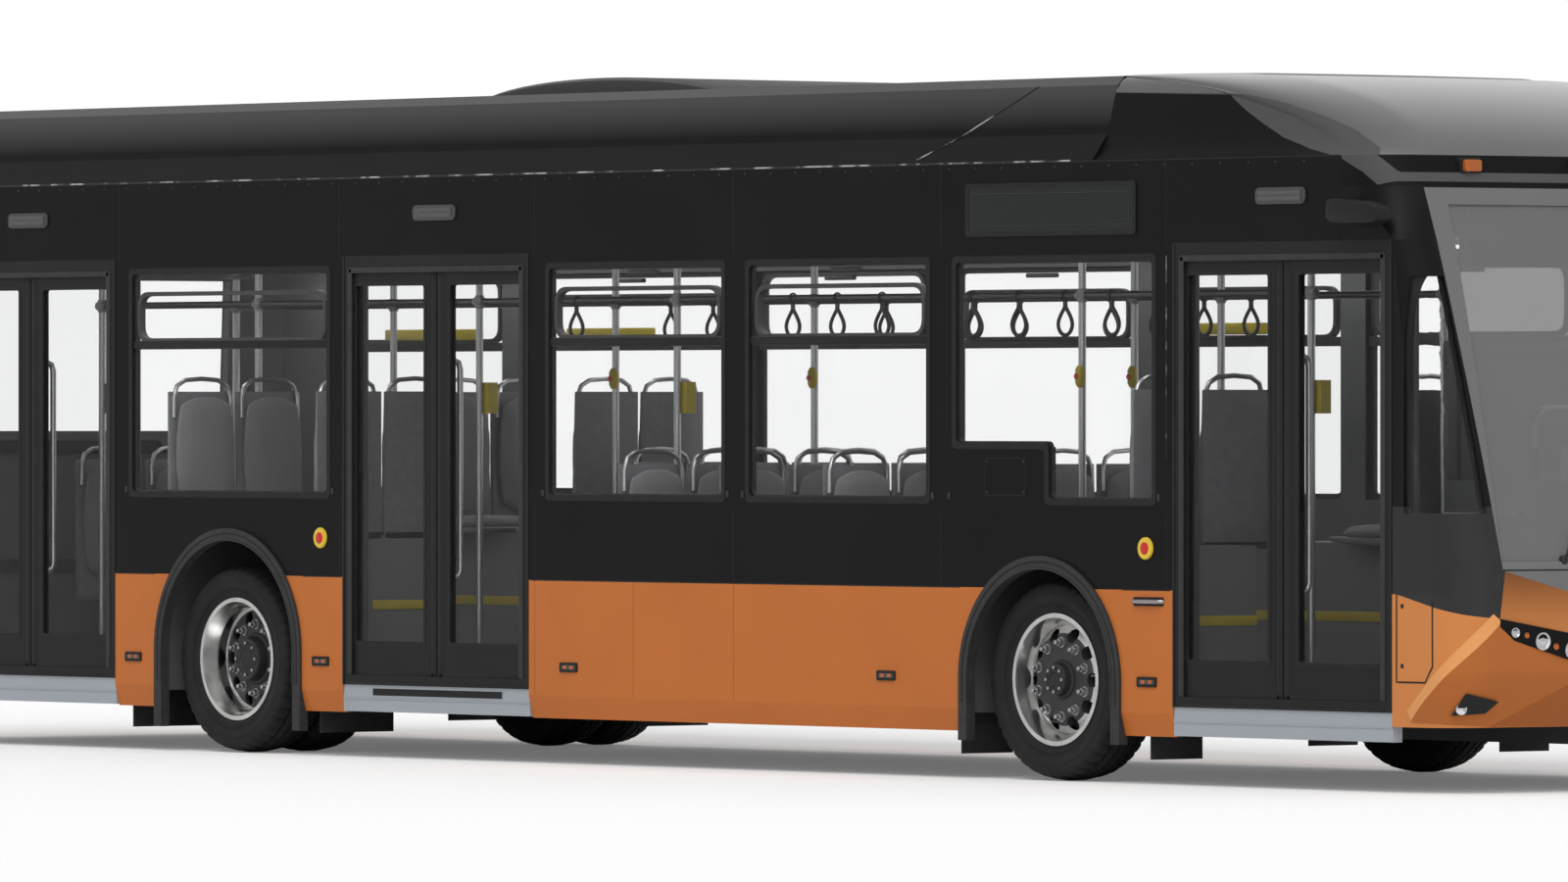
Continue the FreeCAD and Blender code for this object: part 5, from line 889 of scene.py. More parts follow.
def door_leaf(place, half):
    sign = 1 if half == "rear" else -1
    edge = DOOR_CENTRES[place] - sign * (DOOR_HALF - 0.06)
    free = edge + sign * 0.6645
    pin = edge - sign * 0.06 + sign * 0.36225
    name = "door_leaf_%s_%s" % (place, half)
    x_low, x_high = sorted((edge, free))
    p_low, p_high = sorted((edge + sign * 0.020, free - sign * 0.092))
    leaf = Piece(name + "_frame", name, "door_frame", door_black, seal, steel, hub_dark)
    outline = rounded(rect(x_low, x_high, LEAF_FOOT_Z, LEAF_TOP_Z), 0.012)
    opening = rounded(rect(p_low, p_high, LEAF_FOOT_Z + 0.168, LEAF_TOP_Z - 0.084), 0.012)
    leaf.ring(outline, opening, "Y", LEAF_OUTER + 0.001, LEAF_INNER)
    bead = rect(p_low - 0.012, p_high + 0.012, LEAF_FOOT_Z + 0.156, LEAF_TOP_Z - 0.072)
    for low, high in ((LEAF_OUTER - 0.0008, LEAF_OUTER + 0.012), (LEAF_INNER - 0.014, LEAF_INNER + 0.002)):
        leaf.ring(rounded(bead, 0.014), rounded(grown(bead, -0.019), 0.014), "Y", low, high, 1)
    low, high = sorted((free - sign * 0.046, free))
    leaf.box((low, LEAF_OUTER, LEAF_FOOT_Z + 0.002), (high, LEAF_INNER, LEAF_TOP_Z - 0.002), 1, 0.010)
    rib, rib_y = free - sign * 0.050, LEAF_OUTER + 0.003
    leaf.tube([(rib, rib_y, LEAF_FOOT_Z + 0.01), (rib, rib_y, LEAF_TOP_Z - 0.01)], 0.0035, 0, 8)
    leaf.box((x_low + 0.02, LEAF_OUTER, LEAF_FOOT_Z - 0.004),
             (x_high - 0.02, LEAF_OUTER + 0.02, LEAF_FOOT_Z + 0.03), 1, 0.004)
    for low, high in ((LEAF_FOOT_Z, LEAF_FOOT_Z + 0.016), (LEAF_TOP_Z - 0.016, LEAF_TOP_Z)):
        leaf.box((pin - 0.02, LEAF_INNER - 0.002, low), (pin + 0.02, LINK_Y + 0.02, high), 3, 0.003)
    bar = free - sign * 0.075
    path = ((-0.004, 0.86), (0.036, 0.875), (0.046, 0.905), (0.046, 1.86), (0.036, 1.89), (-0.004, 1.905))
    leaf.tube([(bar, LEAF_INNER + off, z) for off, z in path], 0.015, 2, 14)
    for z in (0.862, 1.903):
        leaf.turned([(0.0, 0.028), (0.005, 0.026), (0.007, 0.016)], (bar, LEAF_INNER - 0.001, z),
                    (0, 1, 0), 2, 18)
    item = leaf.place()
    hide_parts(name)
    pane = Piece(name + "_glass", name, "door_frame", door_glass)
    middle = (LEAF_OUTER + LEAF_INNER) / 2
    pane.prism(rounded(rect(p_low - 0.006, p_high + 0.006, LEAF_FOOT_Z + 0.162, LEAF_TOP_Z - 0.078), 0.012),
               "Y", middle - 0.003, middle + 0.003)
    pane.place()


for place in DOOR_CENTRES:
    for half in HALVES:
        door_leaf(place, half)


# Door surrounds: rubber strips beside the leaves, the ramp slot and the sill's fold

def door_surrounds():
    trim = Piece("door_seals", "body", "trim", seal, rubber, silver)
    for place, centre in DOOR_CENTRES.items():
        rear, front = centre - DOOR_HALF, centre + DOOR_HALF
        for x, sign in ((rear, 1), (front, -1)):
            x_low, x_high = sorted((x + sign * 0.042, x + sign * 0.074))
            trim.box((x_low, -HALF - 0.0045, 0.40), (x_high, -HALF + 0.004, 2.345), 1, 0.003)
            x_low, x_high = sorted((x, x + sign * 0.014))
            trim.box((x_low, -HALF - 0.003, 0.352), (x_high, -HALF + 0.002, 2.40), 0, 0.001)
        trim.box((rear + 0.05, -HALF - 0.0045, 2.322), (front - 0.05, -HALF + 0.004, 2.350), 1, 0.003)
        trim.box((rear + 0.05, -HALF - 0.003, 0.3505), (front - 0.05, -HALF + 0.008, 0.366), 0, 0.002)
        trim.box((rear, -HALF + 0.003, 0.282), (front, -HALF + 0.008, 0.286), 2)
    trim.place()
    slot = Piece("ramp_slot", "body", "trim", seal, silver)
    outline = rect(-1.768, -0.755, 0.300, 0.334)
    slot.ring(grown(outline, 0.006), outline, "Y", -HALF + 0.0045, -HALF + 0.009, 1)
    slot.box((-1.768, -HALF + 0.0055, 0.300), (-0.755, -HALF + 0.009, 0.334), 0)
    slot.place()


door_surrounds()


# Wheels: tyres with tread, nuts, hubs and caps

def tyre_profile(width, radius, bead):
    """Half-section points (distance from the middle, radius) of a tyre with four tread grooves."""
    half = width / 2
    out = [(-0.098, bead), (-0.106, bead + 0.010), (-0.112, bead + 0.028), (-0.126, bead + 0.055),
           (-half, (bead + radius) / 2), (-half + 0.001, radius - 0.060), (-half + 0.006, radius - 0.034),
           (-half + 0.014, radius - 0.022)]
    for centre in (-0.066, -0.024, 0.024, 0.066):
        drop = radius - 0.006 if abs(centre) > 0.05 else radius
        out += [(centre - 0.006, drop - 0.0005), (centre - 0.0045, drop - 0.012),
                (centre + 0.0045, drop - 0.012), (centre + 0.006, drop - 0.0005)]
    out.insert(8, (-half + 0.030, radius - 0.014))
    mirror = [(-w, r) for w, r in reversed(out[:9])]
    return out + mirror


def tread_cut(part, centre, radius, count):
    """Presses short cross grooves into the tread's outer ribs."""
    for vert in part.verts:
        offset = vert.co - Vector(centre)
        reach = math.hypot(offset.x, offset.z)
        if reach < radius - 0.036 or abs(offset.y) < 0.045:
            continue
        turn = math.atan2(offset.z, offset.x) / math.tau * count
        if int(round(turn * 4)) % 4 == 0:
            share = (reach - 0.009) / reach
            vert.co.x = centre[0] + offset.x * share
            vert.co.z = centre[2] + offset.z * share


TREAD_COUNT = 44
TYRE_WIDTH = 0.276
TYRE_RADIUS = 0.455
BEAD_RADIUS = 0.290
NUT_RADIUS = 0.1675
# Name, body, axle and the tyres' places along Y
TYRES = (
    ("tyre_front_", "wheel_front_", FRONT_AXLE, (1.055,)),
    ("tyres_rear_", "wheels_rear_", REAR_AXLE, (0.754, 1.066)),
)
# Name, body, axle, the rim's face along Y and the cap's radius and height
HUBS = (
    ("front_hub_", "wheel_front_", FRONT_AXLE, 1.125, 0.074, 0.044),
    ("rear_hub_", "wheels_rear_", REAR_AXLE, 1.056, 0.104, 0.062),
)


def tyre_piece(node_name, body, side, axle_x, offsets):
    whole = Piece(node_name + "_tread", body, "tyre", tyre)
    for y in offsets:
        centre = (axle_x, side * y, WHEEL_Z)
        piece = Piece("part", body, "tyre", tyre)
        piece.turned(tyre_profile(TYRE_WIDTH, TYRE_RADIUS, BEAD_RADIUS), centre, "Y", 0, TREAD_COUNT * 4)
        tread_cut(piece.bm, centre, TYRE_RADIUS, TREAD_COUNT)
        whole.take(piece.bm)
        for radius, wide in ((0.330, 0.1315), (0.385, 0.1372)):
            for flank in (-1, 1):
                loop = [(axle_x + radius * math.cos(turn), side * y + flank * wide,
                         WHEEL_Z + radius * math.sin(turn)) for turn in turns(72)]
                whole.tube(loop, 0.0022, 0, 6, True)
    item = whole.place(50.0)
    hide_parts(node_name)


def wheel_fittings(name, body, side, axle_x, face, r, h):
    """Nuts, hub and valve on a wheel whose face is that far out; r and h are the cap's radius and height."""
    out = (0, side, 0)
    fit = Piece(name, body, "alloy", steel, hub_dark)
    centre = Vector((axle_x, side * face, WHEEL_Z))
    for step in range(10):
        turn = math.tau * (step + 0.5) / 10
        at = centre + Vector((math.cos(turn), 0, math.sin(turn))) * NUT_RADIUS
        fit.turned([(0.0, 0.025), (0.005, 0.024), (0.006, 0.015)], at, out, 0, 18)
        fit.hexagon(at, out, 0.0185, 0.026, 0)
        fit.turned([(0.02, 0.0105), (0.042, 0.0105), (0.044, 0.009), (0.044, 0.0)], at, out, 0, 10)
    cap = [(0.0005, r * 1.22), (0.006, r * 1.20), (0.012, r * 1.05), (h - 0.016, r * 0.985),
           (h - 0.006, r * 0.95), (h + 0.002, r * 0.80), (h + 0.004, r * 0.46), (h + 0.0005, r * 0.43),
           (h + 0.0005, 0.0)]
    fit.turned(cap, centre, out, 1, 48)
    for turn in turns(8):
        at = centre + Vector((math.cos(turn), 0, math.sin(turn))) * r * 0.74
        fit.hexagon(at + Vector((0, side * (h + 0.002), 0)), out, 0.0085, 0.008, 0)
    valve = centre + Vector((0.235, -side * 0.028, 0.02))
    steps = (Vector((0.0, 0.0, 0.0)), Vector((0.0, side * 0.03, 0.0)), Vector((-0.005, side * 0.05, 0.0)))
    fit.tube([valve + step for step in steps], 0.004, 0, 8)
    fit.place()


def wheel_set(side_name):
    for name, body, *measures in TYRES:
        tyre_piece(name + side_name, body + side_name, SIDES[side_name], *measures)
    for name, body, *measures in HUBS:
        wheel_fittings(name + side_name, body + side_name, SIDES[side_name], *measures)


for side_name in SIDES:
    wheel_set(side_name)


# Seats: cloth pads filled by simulation, in plastic shells with tube handles

SEAT_W = 0.40
SEAT_PITCH = 0.76
SEAT_STEP = 0.41
SEAT_WALL_Y = HALF - 0.078
BOX_TOP_Z = 1.06
PAD_STEPS = 20
PAD_SWELL = 0.010


def pad_form(width, length, thick, crown):
    """A closed pad, wider in its middle than at its corners."""
    part = bmesh.new()
    bmesh.ops.create_cube(part, size=1.0)
    bmesh.ops.subdivide_edges(part, edges=part.edges[:], cuts=9, use_grid_fill=True)
    for vert in part.verts:
        x, y, z = (value * 2 for value in vert.co)
        round_x = x * math.sqrt(max(0.0, 1 - 0.30 * y * y))
        round_y = y * math.sqrt(max(0.0, 1 - 0.30 * x * x))
        edge = max(abs(x), abs(y))
        dome = 1 - 0.62 * edge ** 4
        lift = crown * (1 - x * x) * (1 - y * y) if z > 0 else 0.0
        vert.co = Vector((round_x * length / 2, round_y * width / 2, z * thick / 2 * dome + lift))
    return part


def filled_pad(name, width, length, thick, crown):
    """A pad's mesh, swollen by a short cloth simulation and thinned out again."""
    part = pad_form(width, length, thick, crown)
    mesh = bpy.data.meshes.new(name)
    part.to_mesh(mesh)
    part.free()
    item = linked(name, mesh)
    remesh = item.modifiers.new("remesh", "REMESH")
    remesh.mode = "VOXEL"
    remesh.voxel_size = 0.010
    depsgraph = bpy.context.evaluated_depsgraph_get()
    fine = bpy.data.meshes.new_from_object(item.evaluated_get(depsgraph))
    item.modifiers.clear()
    item.data = fine
    start = [vert.co.copy() for vert in fine.vertices]
    cloth = item.modifiers.new("cloth", "CLOTH")
    cloth.settings.use_pressure = True
    cloth.settings.uniform_pressure_force = 4.0
    cloth.settings.effector_weights.gravity = 0.0
    cloth.point_cache.frame_start = 1
    cloth.point_cache.frame_end = PAD_STEPS
    for step in range(1, PAD_STEPS + 1):
        bpy.context.scene.frame_set(step)
    depsgraph = bpy.context.evaluated_depsgraph_get()
    mesh = bpy.data.meshes.new_from_object(item.evaluated_get(depsgraph))
    item.modifiers.clear()
    bpy.context.scene.frame_set(1)
    for vert, origin in zip(mesh.vertices, start):
        move = vert.co - origin
        if move.length > PAD_SWELL:
            vert.co = origin + move * (PAD_SWELL / move.length)
    item.data = mesh
    thin = item.modifiers.new("thin", "DECIMATE")
    thin.ratio = 0.16
    depsgraph = bpy.context.evaluated_depsgraph_get()
    done = bpy.data.meshes.new_from_object(item.evaluated_get(depsgraph))
    bpy.data.objects.remove(item)
    return done


cushion_mesh = filled_pad("cushion_pad", 0.375, 0.40, 0.050, 0.006)
back_mesh = filled_pad("back_pad", 0.375, 0.60, 0.040, 0.006)


def seat_places():
    """Every seat: (rear face of its back along X, Y, height of its foot, facing, cushion over the foot)."""
    rows = []
    for side in (-1, 1):
        rows += [(x, side, BOX_TOP_Z, facing, 0.07) for x, facing in ((-3.534, 1), (-2.314, -1), (3.744, -1))]
    rows += [(0.03 + SEAT_PITCH * index, -1, FLOOR_Z, 1, 0.43) for index in range(3)]
    rows += [(-1.90 + SEAT_PITCH * index, 1, FLOOR_Z, 1, 0.43) for index in range(5)]
    out = [(x, side * (SEAT_WALL_Y - SEAT_W / 2 - SEAT_STEP * place), base, facing, height)
           for x, side, base, facing, height in rows for place in range(2)]
    out += [(-5.69, 0.44 * index, FLOOR_Z, 1, 0.43) for index in range(3)]
    return out + [(4.41, 0.76, 0.56, 1, 0.43)]


def seat_at(pads, shells, x, y, base, facing, height):
    """One seat's pads, its shell, its leg where it stands on the floor, and the tube over its back."""
    top = base + height
    turn = Matrix.Translation((x, y, 0)) @ Matrix.Diagonal((facing, 1, 1, 1))
    for mesh, at, tilt in (
        (cushion_mesh, (0.275, 0.0, top - 0.026), 0.0),
        (back_mesh, (0.048, 0.0, top + 0.315), math.radians(-90)),
    ):
        part = bmesh.new()
        part.from_mesh(mesh)
        part.transform(turn @ Matrix.Translation(at) @ Matrix.Rotation(tilt, 4, "Y"))
        if facing < 0:
            bmesh.ops.reverse_faces(part, faces=part.faces[:])
        pads.take(part)
    back = [(0.030, -0.06), (0.030, 0.10), (0.012, 0.55), (0.010, 0.625), (0.0, 0.628), (0.0, 0.55),
            (0.0, 0.05), (0.0, -0.09)]
    pan = [(0.0, -0.088), (0.47, -0.066), (0.486, -0.050), (0.48, -0.042), (0.0, -0.052)]
    for points in (back, pan):
        shells.prism([(x + facing * a, top + b) for a, b in points], "Y",
                     y - SEAT_W / 2 + 0.004, y + SEAT_W / 2 - 0.004, 0, 0.004)
    if height > 0.1:
        leg = [(0.14, base), (0.34, base), (0.36, base + 0.02), (0.30, top - 0.06), (0.18, top - 0.06),
               (0.12, base + 0.02)]
        shells.prism([(x + facing * a, b) for a, b in leg], "Y", y - 0.025, y + 0.025, 2, 0.004)
    half = SEAT_W / 2 - 0.030
    loop = [(0.012, -half, 0.50), (0.010, -half, 0.600), (0.006, 0.02 - half, 0.655),
            (0.004, 0.07 - half, 0.683), (0.004, 0.0, 0.690)]
    loop += [(a, -b, c) for a, b, c in reversed(loop[:4])]
    shells.tube([(x + facing * (a + 0.010), y + b, top + c) for a, b, c in loop], 0.0115, 1, 10)


def seat_piece():
    pads = Piece("seat_pads", "body", "seat", seat_cloth)
    shells = Piece("seat_shells", "body", "seat", seat_shell, steel, rubber)
    for row in seat_places():
        seat_at(pads, shells, *row)
    item = pads.place(60.0)
    shells.place()
    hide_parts("seats")


seat_piece()


# Hand straps: teardrop grips on short bands

CLIP_RADIUS = 0.0235


def teardrop(x, y, top):
    """A grip's loop: round below, drawn to its band above."""
    points = []
    for turn in turns(28):
        rise = math.cos(turn)
        wide = 0.050 * math.sin(turn) * (1.0 if rise < 0 else 1.0 - 0.74 * rise ** 1.6)
        points.append((x + wide, y, top - 0.112 + (0.052 if rise < 0 else 0.078) * rise))
    return points


def straps():
    piece = Piece("hand_grips", "body", "strap", strap_black)
    top = HANDRAIL_Z - HANDRAIL_RADIUS
    for side in (-1, 1):
        for index in (0, 1, 5, 6, 7, 8, 10, 11, 12, 13):
            x = -1.6 + 0.33 * index
            y = side * HANDRAIL_Y
            piece.tube(teardrop(x, y, top), 0.0092, 0, 8, True)
            piece.box((x - 0.014, y - 0.003, top - 0.040), (x + 0.014, y + 0.003, top + 0.002), 0, 0.001)
            loop = [(x, y + CLIP_RADIUS * math.cos(turn), HANDRAIL_Z + CLIP_RADIUS * math.sin(turn))
                    for turn in turns(16)]
            piece.tube(loop, 0.0045, 0, 8, True)
    item = piece.place()
    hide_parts("hand_straps")


straps()


# Stop buttons, marker lamps, door lamps, display frame and small plates on the door side

HANDLE_Z = 0.815
MARKERS_X = (-3.703, -2.174, -0.236, 2.11, 3.932)
OUT = (0, -1, 0)


def stop_buttons(piece):
    for x in (-2.174, 3.925):
        at = (x, -HALF - 0.001, 1.051)
        piece.turned([(0.0, 0.050), (0.006, 0.050), (0.010, 0.046), (0.011, 0.036), (0.011, 0.028)], at,
                     OUT, 0, 32)
        piece.turned([(0.006, 0.028), (0.012, 0.027), (0.016, 0.020), (0.0175, 0.0)], at, OUT, 1, 28)


def side_markers(piece):
    """Small amber markers low on both sides."""
    for side in (-1, 1):
        for x in MARKERS_X:
            low, high = span_y(side, HALF - 0.002, HALF + 0.0078)
            ring = rect(x - 0.065, x + 0.065, 0.4355, 0.4805)
            piece.ring(rounded(ring, 0.008), rounded(grown(ring, -0.012), 0.006), "Y", low, high, 2)
            low, high = span_y(side, HALF, HALF + 0.0085)
            for middle in (x - 0.024, x + 0.024):
                piece.box((middle - 0.013, low, 0.450), (middle + 0.013, high, 0.466), 3, 0.002)


def door_lamps(piece):
    """A lamp with two lenses over each door."""
    for x in DOOR_CENTRES.values():
        case = rounded(rect(x - 0.165, x + 0.165, 2.5675, 2.6425), 0.03, 5)
        piece.prism(case, "Y", -HALF - 0.0105, -HALF + 0.002, 7, 0.003)
        for z in (2.5925, 2.6175):
            piece.box((x - 0.139, -HALF - 0.0165, z - 0.008), (x + 0.139, -HALF - 0.0125, z + 0.008), 4, 0.002)


def flap_and_handle(piece):
    """The flap below the front window with its screws, and the grab handle by the front door."""
    plate = rect(2.806, 3.094, 1.280, 1.450)
    piece.ring(rounded(plate, 0.012), rounded(grown(plate, -0.004), 0.010), "Y", -HALF - 0.0012,
               -HALF + 0.002, 2)
    for x in (2.822, 3.078):
        for z in (1.296, 1.434):
            piece.turned([(0.0, 0.006), (0.0015, 0.005), (0.002, 0.0)], (x, -HALF, z), OUT, 6, 12)
    path = ((3.845, 0.001), (3.853, -0.014), (3.870, -0.020), (4.014, -0.020), (4.031, -0.014), (4.039, 0.001))
    piece.tube([(x, -HALF + y, HANDLE_Z) for x, y in path], 0.0095, 5, 10)
    plate = rounded(rect(3.838, 4.046, HANDLE_Z - 0.020, HANDLE_Z + 0.020), 0.012)
    piece.prism(plate, "Y", -HALF - 0.0022, -HALF + 0.002, 2)


def side_fittings():
    piece = Piece("side_fittings", "body", "yellow", button_yellow, red, seal, amber_dim, cab_grey, steel,
                  rubber, housing_grey)
    stop_buttons(piece)
    side_markers(piece)
    door_lamps(piece)
    flap_and_handle(piece)
    for key in "ABCD":
        rear, front = WINDOWS[key]
        for x in (rear - 0.028, front + 0.028):
            piece.box((x - 0.009, -HALF - 0.004, 1.262), (x + 0.009, -HALF + 0.002, 1.292), 6, 0.002)
    piece.place()
    case = Piece("display_frame", "body", "display", seal, rubber)
    outline = rect(2.682, 3.852, 2.452, 2.680)
    case.ring(rounded(grown(outline, 0.006), 0.02), rounded(grown(outline, -0.016), 0.016), "Y",
              -HALF - 0.0065, -HALF + 0.003, 0)
    case.ring(rounded(grown(outline, -0.040), 0.012), rounded(grown(outline, -0.043), 0.012), "Y",
              -HALF - 0.0058, -HALF - 0.004, 1)
    case.place()


side_fittings()


# Wheel arch trims: a groove and a rolled inner lip

def arch_path(x, z, radius, y, foot):
    """Points of an arch's inner edge, from foot to foot."""
    turns = [math.pi * step / 36 for step in range(37)]
    arc = [(x + radius * math.cos(turn), y, z + radius * math.sin(turn)) for turn in turns]
    return [(x + radius, y, foot)] + arc + [(x - radius, y, foot)]


def arch_lips():
    piece = Piece("arch_lips", "body", "rubber", strap_black, seal)
    for side in SIDES.values():
        for x, z, radius in ((3.194, 0.452, 0.500), (-2.924, 0.498, 0.535)):
            for grow, proud, thick, finish in ((0.004, 0.0135, 0.0055, 0), (0.034, 0.0142, 0.0028, 1)):
                piece.tube(arch_path(x, z, radius + grow, side * (HALF + proud), 0.345), thick, finish, 8)
    piece.place()


arch_lips()


# Camera pods over the doors and on the driver's side

def pods():
    for side_name, side in SIDES.items():
        pod = Piece("camera_arm_" + side_name, "body", "trim", door_black, seal, reflector)
        low, high = span_y(side, HALF + 0.024, HALF + 0.120)
        outline = [(5.252, 2.500), (5.262, 2.582), (5.300, 2.588), (5.520, 2.570), (5.594, 2.545),
                   (5.598, 2.490), (5.560, 2.474), (5.300, 2.474)]
        pod.prism(rounded(outline, 0.02, 3), "Y", low, high, 0, 0.014)
        low, high = span_y(side, HALF - 0.002, HALF + 0.060)
        pod.prism(rounded([(5.285, 2.502), (5.420, 2.502), (5.400, 2.560), (5.285, 2.560)], 0.012, 3), "Y",
                  low, high, 0, 0.006)
        low, high = span_y(side, HALF - 0.003, HALF + 0.010)
        pod.prism(rounded(rect(5.262, 5.440, 2.484, 2.578), 0.02, 3), "Y", low, high, 1, 0.003)
        at = (5.2535, side * (HALF + 0.072), 2.54)
        pod.turned([(0.004, 0.026), (-0.001, 0.025), (-0.001, 0.020), (0.004, 0.017), (0.006, 0.0)], at,
                   (1, 0, 0), 2, 24)
        item = pod.place()
        if side < 0:
            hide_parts("camera_pods")


pods()


# Front corner: the skin's outline, for pieces that lie on it

# How far the skin stands behind the nose at each height
LEVELS = ((0.290, 0.120), (0.520, 0.020), (0.762, 0.0), (0.968, 0.004))
CORNER_BACK = 0.300
BEND = 0.3
ARC_STEPS = 24
CROWN = 0.075
CROWN_Y = 1.075


def circle_through(a, b, c):
    """Centre of the circle through three points of the plane."""
    d = 2 * (a.x * (b.y - c.y) + b.x * (c.y - a.y) + c.x * (a.y - b.y))
    x = (a.length_squared * (b.y - c.y) + b.length_squared * (c.y - a.y) + c.length_squared * (a.y - b.y)) / d
    y = (a.length_squared * (c.x - b.x) + b.length_squared * (a.x - c.x) + c.length_squared * (b.x - a.x)) / d
    return Vector((x, y))


def front_arcs(start, crown_y, tip):
    """Points from the side's end round the corner and over the crown to the other corner."""
    shoulder = tip - CROWN
    bend = Vector((shoulder + (start.x - shoulder) * BEND, start.y - (start.y + crown_y) * BEND))
    near, far = Vector((shoulder, -crown_y)), Vector((shoulder, crown_y))
    points = []
    for first, middle, last in ((start, bend, near), (near, Vector((tip, 0.0)), far)):
        centre = circle_through(first, middle, last)
        begin = math.atan2(first.y - centre.y, first.x - centre.x)
        end = math.atan2(last.y - centre.y, last.x - centre.x)
        radius = (first - centre).length
        for step in range(1, ARC_STEPS + 1):
            turn = begin + (end - begin) * step / ARC_STEPS
            points.append(centre + Vector((math.cos(turn), math.sin(turn))) * radius)
    return points


def skin_run(z):
    """Points along the door side's skin at height z, from the seam round the corner to the middle."""
    index = max(0, min(len(LEVELS) - 2, sum(1 for level in LEVELS if level[0] <= z) - 1))
    (low_z, low_back), (high_z, high_back) = LEVELS[index:index + 2]
    tip = NOSE - low_back - (high_back - low_back) * (z - low_z) / (high_z - low_z)
    corner = Vector((tip - CORNER_BACK, -HALF))
    return [Vector((FRONT_SEAM_X, -HALF)), corner] + front_arcs(corner, CROWN_Y, tip)


def skin_at(reach, z, proud=0.0):
    """The point a distance along the skin from the seam at height z, and stood off it by proud."""
    points = skin_run(z)
    left = reach
    for first, second in zip(points, points[1:]):
        step = (second - first).length
        if left <= step or second is points[-1]:
            along = (second - first).normalized()
            at = first + along * left
            out = Vector((along.y, -along.x))
            return Vector((at.x + out.x * proud, at.y + out.y * proud, z))
        left -= step


def skin_strip(piece, path, wide, proud, finish, back=0.003):
    """A narrow strip that lies on the front skin along points (reach, height)."""
    fine = []
    for (r0, z0), (r1, z1) in zip(path, path[1:]):
        steps = max(1, int(math.hypot(r1 - r0, z1 - z0) / 0.02))
        fine += [(r0 + (r1 - r0) * step / steps, z0 + (z1 - z0) * step / steps) for step in range(steps)]
    fine.append(path[-1])
    corners = []
    count = len(fine)
    for index, (reach, z) in enumerate(fine):
        before = fine[max(0, index - 1)]
        after = fine[min(count - 1, index + 1)]
        run = Vector((after[0] - before[0], after[1] - before[1])).normalized()
        side = Vector((-run.y, run.x)) * wide / 2
        for sign in (-1, 1):
            for level in (-back, proud):
                corners.append(skin_at(reach + sign * side.x, z + sign * side.y, level))
    faces = [[0, 1, 3, 2], [4 * count - 4, 4 * count - 2, 4 * count - 1, 4 * count - 3]]
    for index in range(count - 1):
        a = 4 * index
        b = a + 4
        faces += [[a, b, b + 1, a + 1], [a + 1, b + 1, b + 3, a + 3], [a + 3, b + 3, b + 2, a + 2],
                  [a + 2, b + 2, b, a]]
    piece.faces(corners, faces, finish)


def skin_patch(piece, outline, proud, finish, cells=14):
    """A thin plate on the front skin inside four corners (reach, height), anticlockwise.

    proud is a number, or a function of the shares along the plate's two directions.
    """
    (a, b, c, d) = [Vector(point) for point in outline]
    top = []
    lift = []
    for row in range(cells + 1):
        for column in range(cells + 1):
            u, v = column / cells, row / cells
            at = (a * (1 - u) + b * u) * (1 - v) + (d * (1 - u) + c * u) * v
            top.append(at)
            lift.append(proud(u, v) if callable(proud) else proud)
    corners = [skin_at(at.x, at.y, rise) for at, rise in zip(top, lift)]
    corners += [skin_at(at.x, at.y, -0.006) for at in top]
    faces = []
    wide = cells + 1
    for row in range(cells):
        for column in range(cells):
            i = row * wide + column
            faces.append([i, i + 1, i + wide + 1, i + wide])
            j = i + wide * wide
            faces.append([j, j + wide, j + wide + 1, j + 1])
    rim = list(range(wide)) + [row * wide + cells for row in range(1, wide)]
    rim += [cells * wide + column for column in range(cells - 1, -1, -1)]
    rim += [row * wide for row in range(cells - 1, 0, -1)]
    for i, j in looped(rim):
        faces.append([i, i + wide * wide, j + wide * wide, j])
    piece.faces(corners, faces, finish)


def crease_height(share):
    """How far the crease stands off the skin along its run."""
    return 0.008 + 0.020 * math.sin(math.pi * min(1.0, max(0.0, share)))


FRONT_LAMPS = (
    (0.655, 0.702, 0.019, 5), (0.715, 0.690, 0.011, 3), (0.800, 0.664, 0.034, 5), (0.870, 0.640, 0.012, 3),
    (0.960, 0.624, 0.036, 5), (1.070, 0.594, 0.012, 3), (1.170, 0.574, 0.036, 5),
)


def skin_lamp(piece, profile, reach, z, proud, finish, steps):
    """A round form that stands square on the front skin."""
    out = (skin_at(reach, z, 0.01) - skin_at(reach, z, 0.0)).normalized()
    piece.turned(profile, skin_at(reach, z, proud), tuple(out), finish, steps)


